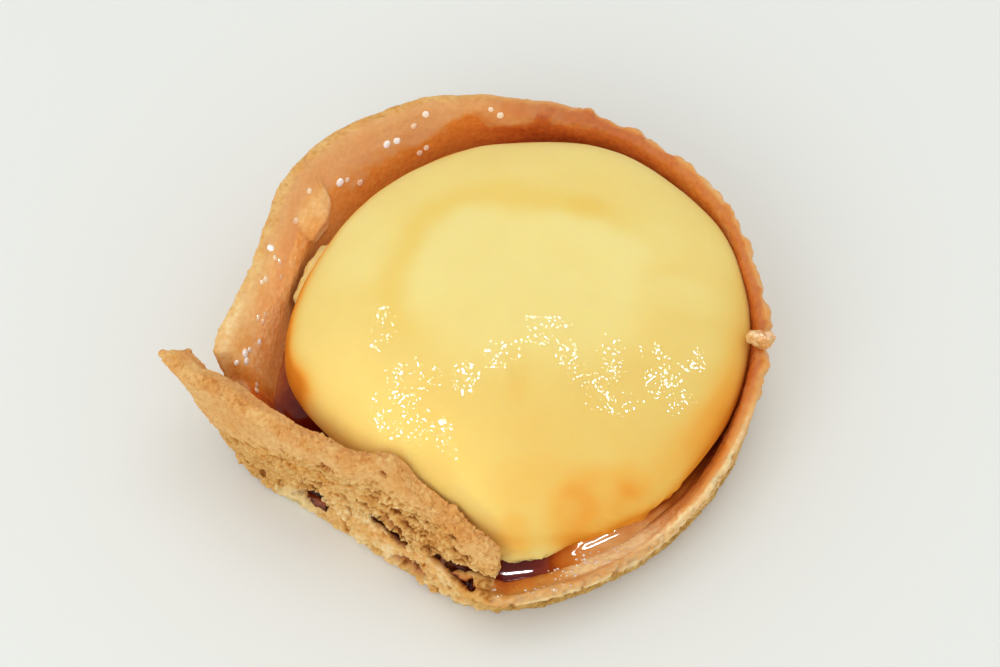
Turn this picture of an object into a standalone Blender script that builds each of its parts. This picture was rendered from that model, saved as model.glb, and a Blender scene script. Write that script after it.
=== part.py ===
"""Pudding tart: a shortcrust shell with one side broken out, filled with a domed custard
pudding that stands in a ring of caramel.

Metres, +Z up. The origin is the middle of the tart's flat base, on the surface it stands on.
Angles run counter-clockwise from +X, seen from above; the broken side faces -X -Y.
Lengths below are millimetres and are scaled once, when a mesh is made.
"""
from bisect import bisect_right
from math import atan2, cos, degrees, hypot, pi, radians, sin, tan

import bmesh
import bpy
from mathutils import Vector, noise

MM = 0.001                # metres in a millimetre
GAP = 0.35                # clearance kept between neighbouring pieces
FULL_TURN = 360.0

# ---- shortcrust shell ------------------------------------------------------------------
SHELL_COLUMNS = 144       # facets round the shell
FLOOR_THICKNESS = 4.0     # crust under the filling
BASE_EDGE = 0.9           # small round where the base meets the wall
RIM_ROUND = 0.9           # height over which the rim turns over
CRUMB_SIZE = 3.2          # spacing of the crumbs on the dry outside
CRUMB_DEPTH = 0.38        # how far they stand out
RIM_RAGGED = 0.55         # how unevenly the rim is broken off
LOW_STUB = 14.0           # below this height the inside of the wall is a hollow slope
LOW_STUB_FADE = 5.0       # height over which the slope goes from straight to hollow
LEAST_WALL = 2.6          # the shell is never lower than this
LEAST_RISE = 1.5          # nor does its inside rise less than this from the floor

# outer radius of the flat base, by angle
BASE_RADIUS = (
    (0, 37.3), (30, 38.0), (90, 38.2), (120, 38.8), (150, 39.2), (178, 40.4), (189, 42.2), (197, 41.2),
    (204, 38.9), (206.5, 39.6), (209, 41.4), (212, 40.6), (216, 39.4), (221, 38.6), (229, 37.6),
    (240, 37.4), (248, 37.9), (257, 39.3), (265, 39.8), (275, 39.3), (290, 37.8), (315, 36.8),
    (345, 37.0),
)
# outer radius of the rim: nearly round, pushed out on the left, dented at the back left
RIM_RADIUS = (
    (0, 39.3), (14, 39.0), (30, 40.0), (60, 40.5), (88, 41.0), (100, 42.8), (110, 44.1), (122, 44.5),
    (133, 45.3), (146, 44.9), (157, 43.1), (167, 42.5), (178, 44.4), (187, 47.0), (191, 45.0),
    (197, 41.8), (201, 40.2), (204, 38.8), (208, 37.0), (212, 35.7), (218, 36.8), (229, 36.8),
    (240, 36.9), (248, 37.5), (256, 40.3), (262, 42.6), (268, 42.9), (279, 41.7), (291, 40.6),
    (315, 39.4), (345, 39.0),
)
# height of the rim: whole at the back, a low stub where the wall has broken away
RIM_HEIGHT = (
    (0, 20.6), (30, 21.6), (60, 22.4), (90, 23.4), (120, 24.0), (146, 24.0), (167, 23.2), (180, 22.8),
    (187, 21.8), (190, 15.5), (193, 13.2), (197, 10.8), (202, 7.6), (206, 4.4), (210, 3.1), (214, 3.2),
    (217, 4.2), (221, 6.0), (226, 7.8), (233, 9.2), (241, 8.2), (247, 9.2), (252, 10.2), (258, 9.2),
    (268, 9.3), (291, 9.7), (303, 10.6), (317, 13.2), (332, 17.2), (346, 19.6),
)
# thickness of the wall just under the rim
RIM_WIDTH = (
    (0, 2.3), (60, 2.5), (105, 3.0), (146, 3.2), (178, 3.2), (190, 2.8), (204, 2.6), (215, 3.2),
    (240, 3.4), (252, 3.0), (264, 2.0), (291, 1.9), (315, 2.2), (345, 2.3),
)
# a flake of crust that has peeled from the inside of the wall and hangs inwards:
# angle, half width in degrees, lower edge, height over which it fades upwards, depth
FLAKE = (146.5, 5.2, 15.4, 7.0, 2.5)
FLAKE_LIP = 1.2           # height over which its lower edge comes in
# radius where the inside of the wall meets the floor
FLOOR_RADIUS = (
    (0, 34.2), (60, 34.8), (120, 35.2), (178, 36.2), (195, 37.4), (206, 35.2), (214, 33.2), (235, 33.2),
    (252, 33.8), (266, 35.2), (279, 34.2), (293, 33.2), (315, 33.2), (345, 34.0),
)

# ---- broken wall: the upper wall that has snapped off and stands against the pudding ----
FLAP_SECTIONS = 58        # facets along the piece
FLAP_WIDTH_LEFT = 3.7     # its thickness at the splayed left end
FLAP_WIDTH_RIGHT = 2.6    # and at the right tip
FLAP_BELLY = 0.5          # how far its outside bulges half way up
FLAP_RAGGED = 0.5         # unevenness of its broken foot and of its rim
FLAP_CREST = 0.35         # rise of its rim between the two faces
FLAP_TAPER = 0.04         # share of its length over which each end thins
FLAP_STEP = 0.02          # share of its length over which its direction is measured
# outside of the piece, from the splayed left end to the right tip:
# angle, radius and height of the foot, then angle, radius and height of the rim
FLAP_STATIONS = (
    (184.2, 50.8, 16.6, 188.1, 55.3, 22.8),
    (188.6, 49.9, 15.0, 191.3, 53.6, 23.4),
    (192.7, 49.8, 11.8, 194.6, 51.6, 23.7),
    (195.5, 47.9, 5.2, 196.9, 49.1, 24.0),
    (198.6, 46.0, 1.2, 200.0, 46.7, 24.0),
    (204.0, 43.3, 1.9, 204.3, 44.7, 24.0),
    (208.0, 41.5, 3.4, 207.5, 42.9, 24.0),
    (212.0, 39.9, 4.7, 211.9, 40.7, 24.0),
    (216.0, 38.6, 6.2, 215.0, 39.4, 24.1),
    (220.5, 37.6, 7.1, 219.0, 37.3, 24.2),
    (226.0, 36.9, 8.5, 224.5, 35.8, 24.2),
    (233.0, 36.3, 9.9, 231.5, 33.8, 24.0),
    (241.0, 36.6, 9.0, 238.7, 32.4, 22.2),
    (246.5, 37.0, 10.0, 245.0, 32.6, 20.2),
    (251.5, 37.5, 11.2, 251.2, 34.0, 18.8),
    (256.5, 38.4, 11.6, 256.4, 36.2, 18.1),
    (262.0, 39.2, 11.4, 262.6, 38.6, 18.0),
    (265.5, 39.5, 11.6, 265.8, 39.8, 16.8),
)

# ---- pudding and caramel ---------------------------------------------------------------
PUDDING_COLUMNS = 96
PUDDING_SHOULDER = 15.5   # height of the widest part
PUDDING_DOME = 12.8       # rise of the dome above it
PUDDING_SQUARENESS = 3.0  # 2 is a ball, more gives a flatter top and a tighter shoulder
PUDDING_SIDE_LEAN = 19.0  # degrees that the side draws in below the shoulder
PUDDING_RADIUS = (
    (0, 36.0), (30, 38.2), (60, 38.2), (90, 36.3), (120, 35.5), (150, 34.9), (180, 36.4), (190, 36.8),
    (200, 35.6), (210, 34.0), (225, 33.0), (240, 33.0), (252, 34.4), (264, 36.3), (285, 36.4),
    (300, 36.0), (330, 34.8),
)
CARAMEL_COLUMNS = 144
CARAMEL_LEVEL = 7.6
CARAMEL_DEPTH = 2.4
GUTTER_HIGH = 0.5         # room left between pudding and crust at the shoulder
# room left for caramel between pudding and crust, low down: widest by the broken wall's tip
GUTTER_LOW = ((0, 1.7), (90, 1.7), (170, 2.4), (200, 2.8), (220, 2.0), (262, 3.4), (275, 3.2), (287, 1.3),
              (320, 1.2), (345, 1.7))

# ---- small loose pieces: middle x, y, z, then length, width and thickness, then heading ---
LUMP_RELIEF = 0.42        # spacing of their relief, as a share of their length
RIM_CRUMB = (37.4, -2.6, 22.2, 4.2, 3.0, 2.4, -15.0)
CUSTARD_SLIVER = (-33.9, 13.6, 13.0, 11.5, 1.7, 3.2, 68.0)


def smooth_table(table, angle):
    """Value at an angle, read from (angle, value) pairs round the full turn, without overshoot."""
    angle %= FULL_TURN
    count = len(table)
    left = bisect_right([pair[0] for pair in table], angle) - 1

    def entry(index):
        turns, place = divmod(index, count)
        return table[place][0] + turns * FULL_TURN, table[place][1]

    def slope(index):
        (a0, v0), (a1, v1), (a2, v2) = entry(index - 1), entry(index), entry(index + 1)
        before = (v1 - v0) / (a1 - a0)
        after = (v2 - v1) / (a2 - a1)
        return 0.0 if before * after <= 0 else 2 * before * after / (before + after)

    (start, low), (end, high) = entry(left), entry(left + 1)
    span = end - start
    t = (angle - start) / span
    return (low * (1 + 2 * t) * (1 - t) ** 2 + high * t * t * (3 - 2 * t)
            + slope(left) * span * t * (1 - t) ** 2 - slope(left + 1) * span * t * t * (1 - t))


def station_value(stations, position, column):
    """Catmull-Rom value of one column of a station list, at a position from 0 to 1 along it."""
    along = position * (len(stations) - 1)
    first = min(int(along), len(stations) - 2)
    t = along - first
    rows = [stations[min(max(first + step, 0), len(stations) - 1)][column] for step in (-1, 0, 1, 2)]
    before, here, there, after = rows
    return here + 0.5 * t * (there - before + t * (2 * before - 5 * here + 4 * there - after
                                                   + t * (3 * (here - there) + after - before)))


def polar(angle, radius, height):
    return Vector((radius * cos(radians(angle)), radius * sin(radians(angle)), height))


def mix(low, high, share):
    return low + (high - low) * share


def clamp(value):
    return min(max(value, 0.0), 1.0)


def crumbs(point, size):
    """Uneven relief from -1 to 1 in lumps of the given size."""
    coarse = noise.noise(point / size)
    fine = noise.noise(point * (2.1 / size) + Vector((17.0, 5.0, 3.0)))
    return coarse + 0.55 * fine


def material(name, colour, roughness):
    finish = bpy.data.materials.new(name)
    finish.use_nodes = True
    surface = finish.node_tree.nodes["Principled BSDF"]
    surface.inputs["Base Color"].default_value = (*colour, 1.0)
    surface.inputs["Roughness"].default_value = roughness
    surface.inputs["Metallic"].default_value = 0.0
    finish.diffuse_color = (*colour, 1.0)
    return finish


def wrapped_solid(name, finish, columns, rows, place, ring=False):
    """A closed solid from a grid that is wrapped round: place(column share, row) gives each point.

    The grid's first and last columns meet. With ring set its first and last rows meet too, and
    otherwise each of those rows is closed by one face.
    """
    mesh = bmesh.new()
    bmesh.ops.create_grid(mesh, x_segments=columns, y_segments=rows - 1 + ring, size=1.0)
    for vert in mesh.verts:
        column = round((vert.co.x + 1.0) / 2.0 * columns) % columns
        row = round((vert.co.y + 1.0) / 2.0 * (rows - 1 + ring)) % rows
        vert.co = place(column / columns, row) * MM
    bmesh.ops.remove_doubles(mesh, verts=mesh.verts, dist=1e-6)
    open_edges = [edge for edge in mesh.edges if edge.is_boundary]
    if open_edges:
        bmesh.ops.holes_fill(mesh, edges=open_edges, sides=0)
    bmesh.ops.recalc_face_normals(mesh, faces=mesh.faces)
    data = bpy.data.meshes.new(name)
    mesh.to_mesh(data)
    mesh.free()
    data.shade_smooth()
    data.set_sharp_from_angle(angle=radians(50))
    data.materials.append(finish)
    solid = bpy.data.objects.new(name, data)
    bpy.context.collection.objects.link(solid)
    return solid


# ---- shell -----------------------------------------------------------------------------
def rim_height(angle):
    ragged = noise.noise(polar(angle, 13.0, 4.0)) + 0.6 * noise.noise(polar(angle, 29.0, 9.0))
    return smooth_table(RIM_HEIGHT, angle) + RIM_RAGGED * ragged


def flake_depth(angle, height):
    """How far the peeled flake stands in from the inside of the wall."""
    middle, half_width, foot, fade, depth = FLAKE
    across = clamp(1.0 - ((angle - middle) / half_width) ** 2)
    up = clamp((height - foot) / FLAKE_LIP) * clamp((foot + fade - height) / fade)
    return depth * across ** 0.6 * up


def wall_inside(angle, height):
    """Radius of the inside of the shell's wall at a height, up to the rim."""
    top = smooth_table(RIM_RADIUS, angle) - smooth_table(RIM_WIDTH, angle)
    rim = rim_height(angle)
    share = clamp((height - FLOOR_THICKNESS) / max(rim - FLOOR_THICKNESS, LEAST_RISE))
    hollow = 1.0 + 0.8 * clamp((LOW_STUB - rim) / LOW_STUB_FADE)
    return mix(smooth_table(FLOOR_RADIUS, angle), top, share ** hollow) - flake_depth(angle, height)


OUTSIDE_STEPS = (0.12, 0.26, 0.41, 0.56, 0.71, 0.86)
RIM_STEPS = ((0.0, 1.0), (0.28, 0.25), (0.72, 0.15), (1.0, 1.0))
INSIDE_STEPS = (0.84, 0.68, 0.52, 0.36, 0.2, 0.08, 0.0)


def shell_profile(angle):
    """The shell's section at an angle, as (radius, height, crumb depth) from base to floor."""
    base = smooth_table(BASE_RADIUS, angle)
    rim = smooth_table(RIM_RADIUS, angle)
    width = smooth_table(RIM_WIDTH, angle)
    top = max(rim_height(angle), LEAST_WALL)
    turn = min(RIM_ROUND, 0.25 * top)
    points = [(base - BASE_EDGE, 0.0, 0.0), (base, BASE_EDGE, 0.3)]
    for share in OUTSIDE_STEPS:
        height = mix(BASE_EDGE, top - turn, share)
        points.append((mix(base, rim, share ** 0.9), height, 1.0))
    for across, drop in RIM_STEPS:
        points.append((rim - width * across, top - turn * drop, 0.5))
    for share in INSIDE_STEPS:
        height = mix(min(FLOOR_THICKNESS, top - turn - 0.4), top - turn, share)
        points.append((min(wall_inside(angle, height), rim - width), height, 0.0))
    return points


def shell_point(column_share, row):
    angle = FULL_TURN * column_share
    radius, height, depth = shell_profile(angle)[row]
    point = polar(angle, radius, height)
    outward = polar(angle, 1.0, 0.0)
    return point + outward * (CRUMB_DEPTH * depth * min(crumbs(point, CRUMB_SIZE), 0.8))


# ---- broken wall -----------------------------------------------------------------------
FLAP_OUTSIDE = (0.0, 0.16, 0.34, 0.52, 0.7, 0.87, 0.97)
FLAP_INSIDE = (0.97, 0.8, 0.6, 0.4, 0.2, 0.0)


def flap_edge(position, edge):
    """Outer corner of the broken wall's foot (edge 0) or rim (edge 1) along its length."""
    angle, radius, height = (station_value(FLAP_STATIONS, position, 3 * edge + k) for k in range(3))
    point = polar(angle, radius, height)
    ragged = noise.noise(point * 0.45) + 0.7 * noise.noise(point * 1.1)
    foot_room = 1.0 - edge
    point.z += FLAP_RAGGED * (ragged if edge else abs(ragged)) * mix(0.6, 1.0, foot_room)
    return point


def flap_inward(position):
    left, right = max(position - FLAP_STEP, 0.0), min(position + FLAP_STEP, 1.0)
    along = flap_edge(right, 0) + flap_edge(right, 1) - flap_edge(left, 0) - flap_edge(left, 1)
    return Vector((-along.y, along.x, 0.0)).normalized()


def flap_surface(position, share, side):
    """Point on the outside (side 0) or inside (side 1) of the broken wall."""
    foot, rim = flap_edge(position, 0), flap_edge(position, 1)
    taper = clamp(min(position, 1.0 - position) / FLAP_TAPER)
    width = mix(FLAP_WIDTH_LEFT, FLAP_WIDTH_RIGHT, position) * mix(0.6, 1.0, taper ** 0.5)
    belly = FLAP_BELLY * sin(pi * share)
    return foot.lerp(rim, share) + flap_inward(position) * (width * side - belly)


def flap_point(column_share, row):
    """Sections run along the piece as rows; the columns go once round each section."""
    position = row / (FLAP_SECTIONS - 1)
    column = round(column_share * (len(FLAP_OUTSIDE) + len(FLAP_INSIDE) + 1))
    if column < len(FLAP_OUTSIDE):
        point = flap_surface(position, FLAP_OUTSIDE[column], 0)
        relief = CRUMB_DEPTH * min(crumbs(point, CRUMB_SIZE), 0.8)
        return point - flap_inward(position) * relief
    if column == len(FLAP_OUTSIDE):
        crest = flap_surface(position, 1.0, 0).lerp(flap_surface(position, 1.0, 1), 0.5)
        return crest + Vector((0.0, 0.0, FLAP_CREST))
    return flap_surface(position, FLAP_INSIDE[column - len(FLAP_OUTSIDE) - 1], 1)


BELOW_FOOT, ABOVE_RIM = -0.15, 1.3   # shares of its height
FLAP_REACH = 3.0                     # degrees within which a sample counts as beside a point


def flap_inside_samples():
    """The inside of the broken wall as (foot, rim) pairs along its length."""
    count = 2 * FLAP_SECTIONS
    return [(flap_surface(k / count, 0.0, 1), flap_surface(k / count, 1.0, 1)) for k in range(count + 1)]


def flap_inside(samples, angle, height):
    """Radius of the inside of the broken wall at an angle and height, or None where it has none.

    Its line is followed a little below its foot and above its rim, so that nothing slips past it.
    """
    nearest = None
    for foot, rim in samples:
        share = (height - foot.z) / (rim.z - foot.z)
        if BELOW_FOOT < share < ABOVE_RIM:
            point = foot.lerp(rim, share)
            apart = abs((degrees(atan2(point.y, point.x)) - angle + 180.0) % FULL_TURN - 180.0)
            if apart < FLAP_REACH and (nearest is None or apart < nearest[0]):
                nearest = (apart, hypot(point.x, point.y))
    return nearest[1] if nearest else None


FLAP_SAMPLES = flap_inside_samples()


# ---- filling ---------------------------------------------------------------------------
FREE_RADIUS = 200.0       # limit where no crust stands beside the filling
FACET_REACH = 1.5         # degrees to each side over which a flat facet must clear the crust


def crust_inside(angle, height):
    """Radius that the filling may reach: the nearest of the shell and the broken wall close by."""
    limits = [FREE_RADIUS]
    for close_by in (angle - FACET_REACH, angle, angle + FACET_REACH):
        if height < rim_height(close_by) + 1.0:
            limits.append(wall_inside(close_by, height))
        leaning = flap_inside(FLAP_SAMPLES, close_by % FULL_TURN, height)
        if leaning is not None:
            limits.append(leaning - GAP)
    return min(limits)


def pudding_side(angle, height):
    """Radius of the pudding's side, from the floor of the shell up to its shoulder."""
    drawn_in = (PUDDING_SHOULDER - height) * tan(radians(PUDDING_SIDE_LEAN))
    rise = clamp((height - CARAMEL_LEVEL) / (PUDDING_SHOULDER - CARAMEL_LEVEL))
    room = crust_inside(angle, height) - mix(smooth_table(GUTTER_LOW, angle), GUTTER_HIGH, rise)
    return min(smooth_table(PUDDING_RADIUS, angle) - drawn_in, room)


SIDE_HEIGHTS = (FLOOR_THICKNESS + GAP, 6.0, 7.8, 10.0, 12.2, 14.0)
DOME_SHARES = (1.0, 0.985, 0.96, 0.92, 0.86, 0.78, 0.68, 0.56, 0.42, 0.27, 0.12)


def pudding_point(column_share, row):
    angle = FULL_TURN * column_share
    if row < len(SIDE_HEIGHTS):
        height = SIDE_HEIGHTS[row]
        return polar(angle, pudding_side(angle, height), height)
    share = DOME_SHARES[row - len(SIDE_HEIGHTS)]
    height = PUDDING_SHOULDER + PUDDING_DOME * (1.0 - share ** PUDDING_SQUARENESS) ** 0.5
    radius = share * smooth_table(PUDDING_RADIUS, angle)
    return polar(angle, min(radius, crust_inside(angle, height) - GUTTER_HIGH), height)


def caramel_point(column_share, row):
    """Section of the ring: up the outside and down the inside."""
    angle = FULL_TURN * column_share
    level = (0.0, 0.5, 1.0, 1.0, 0.5, 0.0)[row]
    height = CARAMEL_LEVEL - CARAMEL_DEPTH * (1.0 - level)
    if row < 3:
        return polar(angle, crust_inside(angle, height) - GAP, height)
    return polar(angle, pudding_side(angle, height) + GAP, height)


# ---- small loose pieces ------------------------------------------------------------------
def lump(name, finish, place, unevenness):
    """A rough pebble: a ball of facets, drawn out to its three sizes and turned to its heading."""
    x, y, z, length, width, thickness, heading = place
    mesh = bmesh.new()
    bmesh.ops.create_icosphere(mesh, subdivisions=2, radius=0.5)
    turn = radians(heading)
    for vert in mesh.verts:
        swell = 1.0 + unevenness * crumbs(vert.co + Vector((x, y, z)), LUMP_RELIEF)
        along, across, up = vert.co * swell * Vector((length, width, thickness))
        vert.co = Vector((x + along * cos(turn) - across * sin(turn),
                          y + along * sin(turn) + across * cos(turn), z + up)) * MM
    data = bpy.data.meshes.new(name)
    mesh.to_mesh(data)
    mesh.free()
    data.shade_smooth()
    data.materials.append(finish)
    piece = bpy.data.objects.new(name, data)
    bpy.context.collection.objects.link(piece)
    return piece


def main():
    for leftover in list(bpy.data.objects):
        bpy.data.objects.remove(leftover)

    crust = material("baked shortcrust", (0.66, 0.39, 0.16), 0.75)
    custard = material("custard pudding", (0.86, 0.62, 0.2), 0.25)
    sauce = material("caramel", (0.2, 0.05, 0.01), 0.1)

    profile_rows = len(shell_profile(0.0))
    wrapped_solid("crust", crust, SHELL_COLUMNS, profile_rows, shell_point)
    flap_columns = len(FLAP_OUTSIDE) + 1 + len(FLAP_INSIDE)
    wrapped_solid("broken_wall", crust, flap_columns, FLAP_SECTIONS, flap_point)
    pudding_rows = len(SIDE_HEIGHTS) + len(DOME_SHARES)
    wrapped_solid("pudding", custard, PUDDING_COLUMNS, pudding_rows, pudding_point)
    wrapped_solid("caramel", sauce, CARAMEL_COLUMNS, 6, caramel_point, ring=True)
    lump("rim_crumb", crust, RIM_CRUMB, 0.2)
    lump("custard_sliver", custard, CUSTARD_SLIVER, 0.15)


main()
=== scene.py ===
# %% [markdown]
# # A pudding tart
#
# A single-portion tart: a shell of baked shortcrust, a domed custard pudding set in it, and dark
# caramel that has run down the pudding and stands in the gutter round it. One side of the shell has
# snapped off and leans against the pudding. The solids of the part already have every size and
# place. This lesson gives each of them its surface: crumb, pores and cracks in the crust, a wet
# skin on the custard, and syrup that creeps up whatever it touches.

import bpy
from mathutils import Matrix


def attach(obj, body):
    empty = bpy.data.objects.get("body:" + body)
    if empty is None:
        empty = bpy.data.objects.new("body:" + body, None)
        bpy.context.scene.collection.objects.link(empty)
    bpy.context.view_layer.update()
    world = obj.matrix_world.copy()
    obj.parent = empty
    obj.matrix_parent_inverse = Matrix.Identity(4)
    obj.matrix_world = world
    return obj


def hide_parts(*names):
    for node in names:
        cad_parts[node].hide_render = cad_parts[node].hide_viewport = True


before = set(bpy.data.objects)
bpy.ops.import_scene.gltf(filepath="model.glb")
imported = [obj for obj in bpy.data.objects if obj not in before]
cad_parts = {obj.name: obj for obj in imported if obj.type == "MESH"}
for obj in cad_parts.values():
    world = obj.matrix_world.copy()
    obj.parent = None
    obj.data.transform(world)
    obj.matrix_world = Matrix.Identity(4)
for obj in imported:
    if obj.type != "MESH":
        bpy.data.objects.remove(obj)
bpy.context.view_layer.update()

# %% The rest of the tools
import itertools
import random

import bmesh
import bpy
import numpy as np
from mathutils import Matrix, Vector
from mathutils.bvhtree import BVHTree

MM = 0.001        # the scene is in metres, and every size below is given in millimetres
SEED = 58

# %% [markdown]
# ## Working on a copy of a solid
#
# A solid of the part arrives as loose triangles, so a copy of it is first merged at its corners.
# Food has no sharp construction lines, and its surface is best made of small, even faces that can
# be pushed in and out. There are two good ways to get them. A voxel remesh lays one skin round
# everything in a mesh, and also melts added lumps into it, which suits crumbly crust. Subdivision
# keeps the flow of the faces and rounds them off, which suits the glossy custard, where the faint
# steps of a remesh would show in every highlight.


# %% Merge, skin and publish a piece
def merged_copy(node):
    """A bmesh of one of the part's solids, in millimetres, with its triangles joined up."""
    shape = bmesh.new()
    shape.from_mesh(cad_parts[node].data)
    bmesh.ops.scale(shape, vec=(1 / MM,) * 3, verts=shape.verts)
    bmesh.ops.remove_doubles(shape, verts=shape.verts, dist=0.003)
    return shape


def to_mesh(shape, name):
    mesh = bpy.data.meshes.new(name)
    shape.to_mesh(mesh)
    shape.free()
    return mesh


def with_modifier(shape, name, kind, **settings):
    """The mesh that is left when a modifier has been applied to the shape."""
    carrier = bpy.data.objects.new(name, to_mesh(shape, name))
    bpy.context.collection.objects.link(carrier)
    modifier = carrier.modifiers.new(kind.lower(), kind)
    for setting, value in settings.items():
        setattr(modifier, setting, value)
    bpy.context.view_layer.update()
    graph = bpy.context.evaluated_depsgraph_get()
    finished = bpy.data.meshes.new_from_object(carrier.evaluated_get(graph))
    bpy.data.objects.remove(carrier)
    finished.name = name
    return finished


def voxel_skin(shape, size, name):
    """One closed skin of even faces of that size round everything in the shape."""
    return with_modifier(shape, name, "REMESH", mode="VOXEL", voxel_size=size)


def subdivided(shape, levels, name, kind="CATMULL_CLARK"):
    return with_modifier(shape, name, "SUBSURF", levels=levels, render_levels=levels, subdivision_type=kind)


def without_ball(shape, centre, radius, name):
    """A bmesh of what is left of the shape outside a ball."""
    ball = bmesh.new()
    bmesh.ops.create_icosphere(ball, subdivisions=4, radius=radius, matrix=Matrix.Translation(centre))
    cutter = bpy.data.objects.new("ball", to_mesh(ball, "ball"))
    bpy.context.collection.objects.link(cutter)
    cut = with_modifier(shape, name, "BOOLEAN", object=cutter, operation="DIFFERENCE", solver="EXACT")
    bpy.data.objects.remove(cutter)
    left = bmesh.new()
    left.from_mesh(cut)
    return left


def publish(name, mesh, finish, slot, *nodes):
    """The finished piece: scaled to metres, shaded smooth, riding on the tart."""
    mesh.transform(Matrix.Scale(MM, 4))
    mesh.shade_smooth()
    mesh.materials.clear()
    mesh.materials.append(finish)
    piece = bpy.data.objects.new(name, mesh)
    bpy.context.collection.objects.link(piece)
    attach(piece, "root")
    if nodes:
        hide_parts(*nodes)
    triangles = sum(len(face.vertices) - 2 for face in mesh.polygons)
    print(f"{name}: {triangles} triangles, {[round(side / MM, 1) for side in piece.dimensions]} mm")
    return piece


# %% [markdown]
# ## Reading and moving thousands of points
#
# Relief is a rule that says how far each point moves along its normal. The points are read into
# arrays, so that a mask such as "faces inwards and lies below the rim" is one line of arithmetic.
# What the rule works out, such as how wet a point is, is kept on the mesh as an attribute, and the
# materials read it from there. The tart is round, so most rules change with the angle from +X: a
# table gives {angle: value}, and a stretch gives the angles where something begins, is at its
# full, starts to fade and ends.


# %% Arrays of a mesh's points
def points_of(mesh):
    """Places and normals of the mesh's points, as two arrays of three columns."""
    places = np.empty(len(mesh.vertices) * 3, np.float32)
    normals = np.empty(len(mesh.vertices) * 3, np.float32)
    mesh.vertices.foreach_get("co", places)
    mesh.vertex_normals.foreach_get("vector", normals)
    return places.reshape(-1, 3).astype(float), normals.reshape(-1, 3).astype(float)


def push(mesh, places, normals, distance):
    """Moves each point from its place along its normal, by its own distance."""
    moved = places + normals * distance[:, None]
    mesh.vertices.foreach_set("co", moved.astype(np.float32).ravel())
    mesh.update()


def keep(mesh, **fields):
    """Keeps arrays on the mesh as attributes of the same names."""
    for name, values in fields.items():
        attribute = mesh.attributes.new(name, "FLOAT", "POINT")
        attribute.data.foreach_set("value", np.clip(values, 0, 1).astype(np.float32))


def around(places):
    """Angle from +X in degrees, and distance from the tart's axis."""
    return (np.degrees(np.arctan2(places[:, 1], places[:, 0])) % 360,
            np.hypot(places[:, 0], places[:, 1]))


def outwards(places, normals):
    """How far each point faces away from the tart's axis, from -1 to 1."""
    return (places * normals)[:, :2].sum(axis=1) / np.hypot(places[:, 0], places[:, 1])


def turned(at, radius, height):
    """The place at an angle, a distance from the tart's axis and a height."""
    return Matrix.Rotation(np.radians(at), 3, "Z") @ Vector((radius, 0, height))


# %% Rules by place and angle
def ease(low, high, values):
    """0 below low, 1 above high and a smooth step between; low may be the larger one."""
    share = np.clip((values - low) / (high - low), 0, 1)
    return share * share * (3 - 2 * share)


def between(values, start, full, full_end, end):
    """1 between the two inner limits, easing to 0 at the outer ones."""
    return ease(start, full, values) * ease(end, full_end, values)


def by_angle(table, angles):
    """Values read from a table of {angle: value} round the full turn."""
    return np.interp(angles, list(table), list(table.values()), period=360)


def most(*fields):
    """The largest of several arrays at each point."""
    return np.max(fields, axis=0)


# %% [markdown]
# ## Crumb
#
# Shortcrust is flour and butter rubbed to grains and barely stuck together, so its surface is
# grains of half a millimetre to a millimetre and a half with creases between them, and a pore
# wherever a grain is missing. Noise for so many points is worked out on whole arrays at once.
# Folding smooth noise at zero gives sharp creases between rounded crumbs, and several sizes of it
# are added up. Cell noise gives separate grains, and noise cut off at a level gives pores. The
# salt is any whole number: it gives each use a pattern of its own.


# %% Grains, swells and pores
CORNERS = [np.array(corner) for corner in itertools.product((0, 1), repeat=3)]
NEIGHBOURS = [np.array(step) for step in itertools.product((-1, 0, 1), repeat=3)]


def scatter(cells, salt):
    """A number from 0 to 1 for each cell of a cubic lattice, always the same for that cell."""
    x, y, z = cells.astype(np.int64).T
    mixed = (x * 73856093) ^ (y * 19349663) ^ (z * 83492791) ^ (salt * 912931 + SEED)
    mixed = ((mixed ^ (mixed >> 13)) * 1274126177) & 0x7FFFFFFF
    mixed = ((mixed ^ (mixed >> 11)) * 668265263) & 0x7FFFFFFF
    return (mixed ^ (mixed >> 15)) / 0x7FFFFFFF


def scatter_points(cells, salt):
    return np.stack([scatter(cells, 3 * salt + axis) for axis in range(3)], axis=-1)


def swells(places, size, salt=0):
    """Smooth noise from about -1 to 1, with lumps of the given size."""
    spots = places / size
    cells = np.floor(spots)
    within = spots - cells
    fade = within**3 * (within * (within * 6 - 15) + 10)
    total = np.zeros(len(spots))
    for corner in CORNERS:
        slope = scatter_points(cells + corner, salt) * 2 - 1
        share = np.prod(np.where(corner, fade, 1 - fade), axis=-1)
        total += share * np.sum(slope * (within - corner), axis=-1)
    return total * 1.6


def grains(places, size, salt=0):
    """0 in the creases between grains of the given size, up to 1 on their crowns."""
    spots = places / size
    cells = np.floor(spots)
    nearest = np.full(len(spots), 9.0)
    second = nearest.copy()
    for step in NEIGHBOURS:
        far = np.linalg.norm(cells + step + scatter_points(cells + step, salt) - spots, axis=-1)
        second = np.minimum(second, np.maximum(nearest, far))
        nearest = np.minimum(nearest, far)
    return np.clip((second - nearest) * 1.6, 0, 1)


def crumbled(places, size, salt=0, octaves=3):
    """About -0.5 in sharp creases to 0.5 on rounded crowns, in crumbs of several sizes at once."""
    bend = np.stack([swells(places, size, salt + turn) for turn in (50, 51, 52)], axis=-1)
    bent = places + 0.35 * size * bend
    total, heaviest = np.zeros(len(places)), 0.0
    for octave in range(octaves):
        weight = 0.55**octave
        total += weight * np.minimum(1, 2.2 * np.abs(swells(bent, size / 2**octave, salt + octave)))
        heaviest += weight
    return total / heaviest - 0.5


def pore_depth(places, size, level, salt=31):
    """0 to 1: how deep a point lies in a pore. A higher level leaves fewer pores."""
    return ease(level, level + 0.14, swells(places, size, salt) + 0.25 * swells(places, size / 3, salt + 1))


# %% [markdown]
# ## Materials
#
# One function turns an sRGB hex code to the linear colour that the shader wants, and one adds a
# node with its options and sockets. A socket takes a plain value, or the output of another node.


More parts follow.
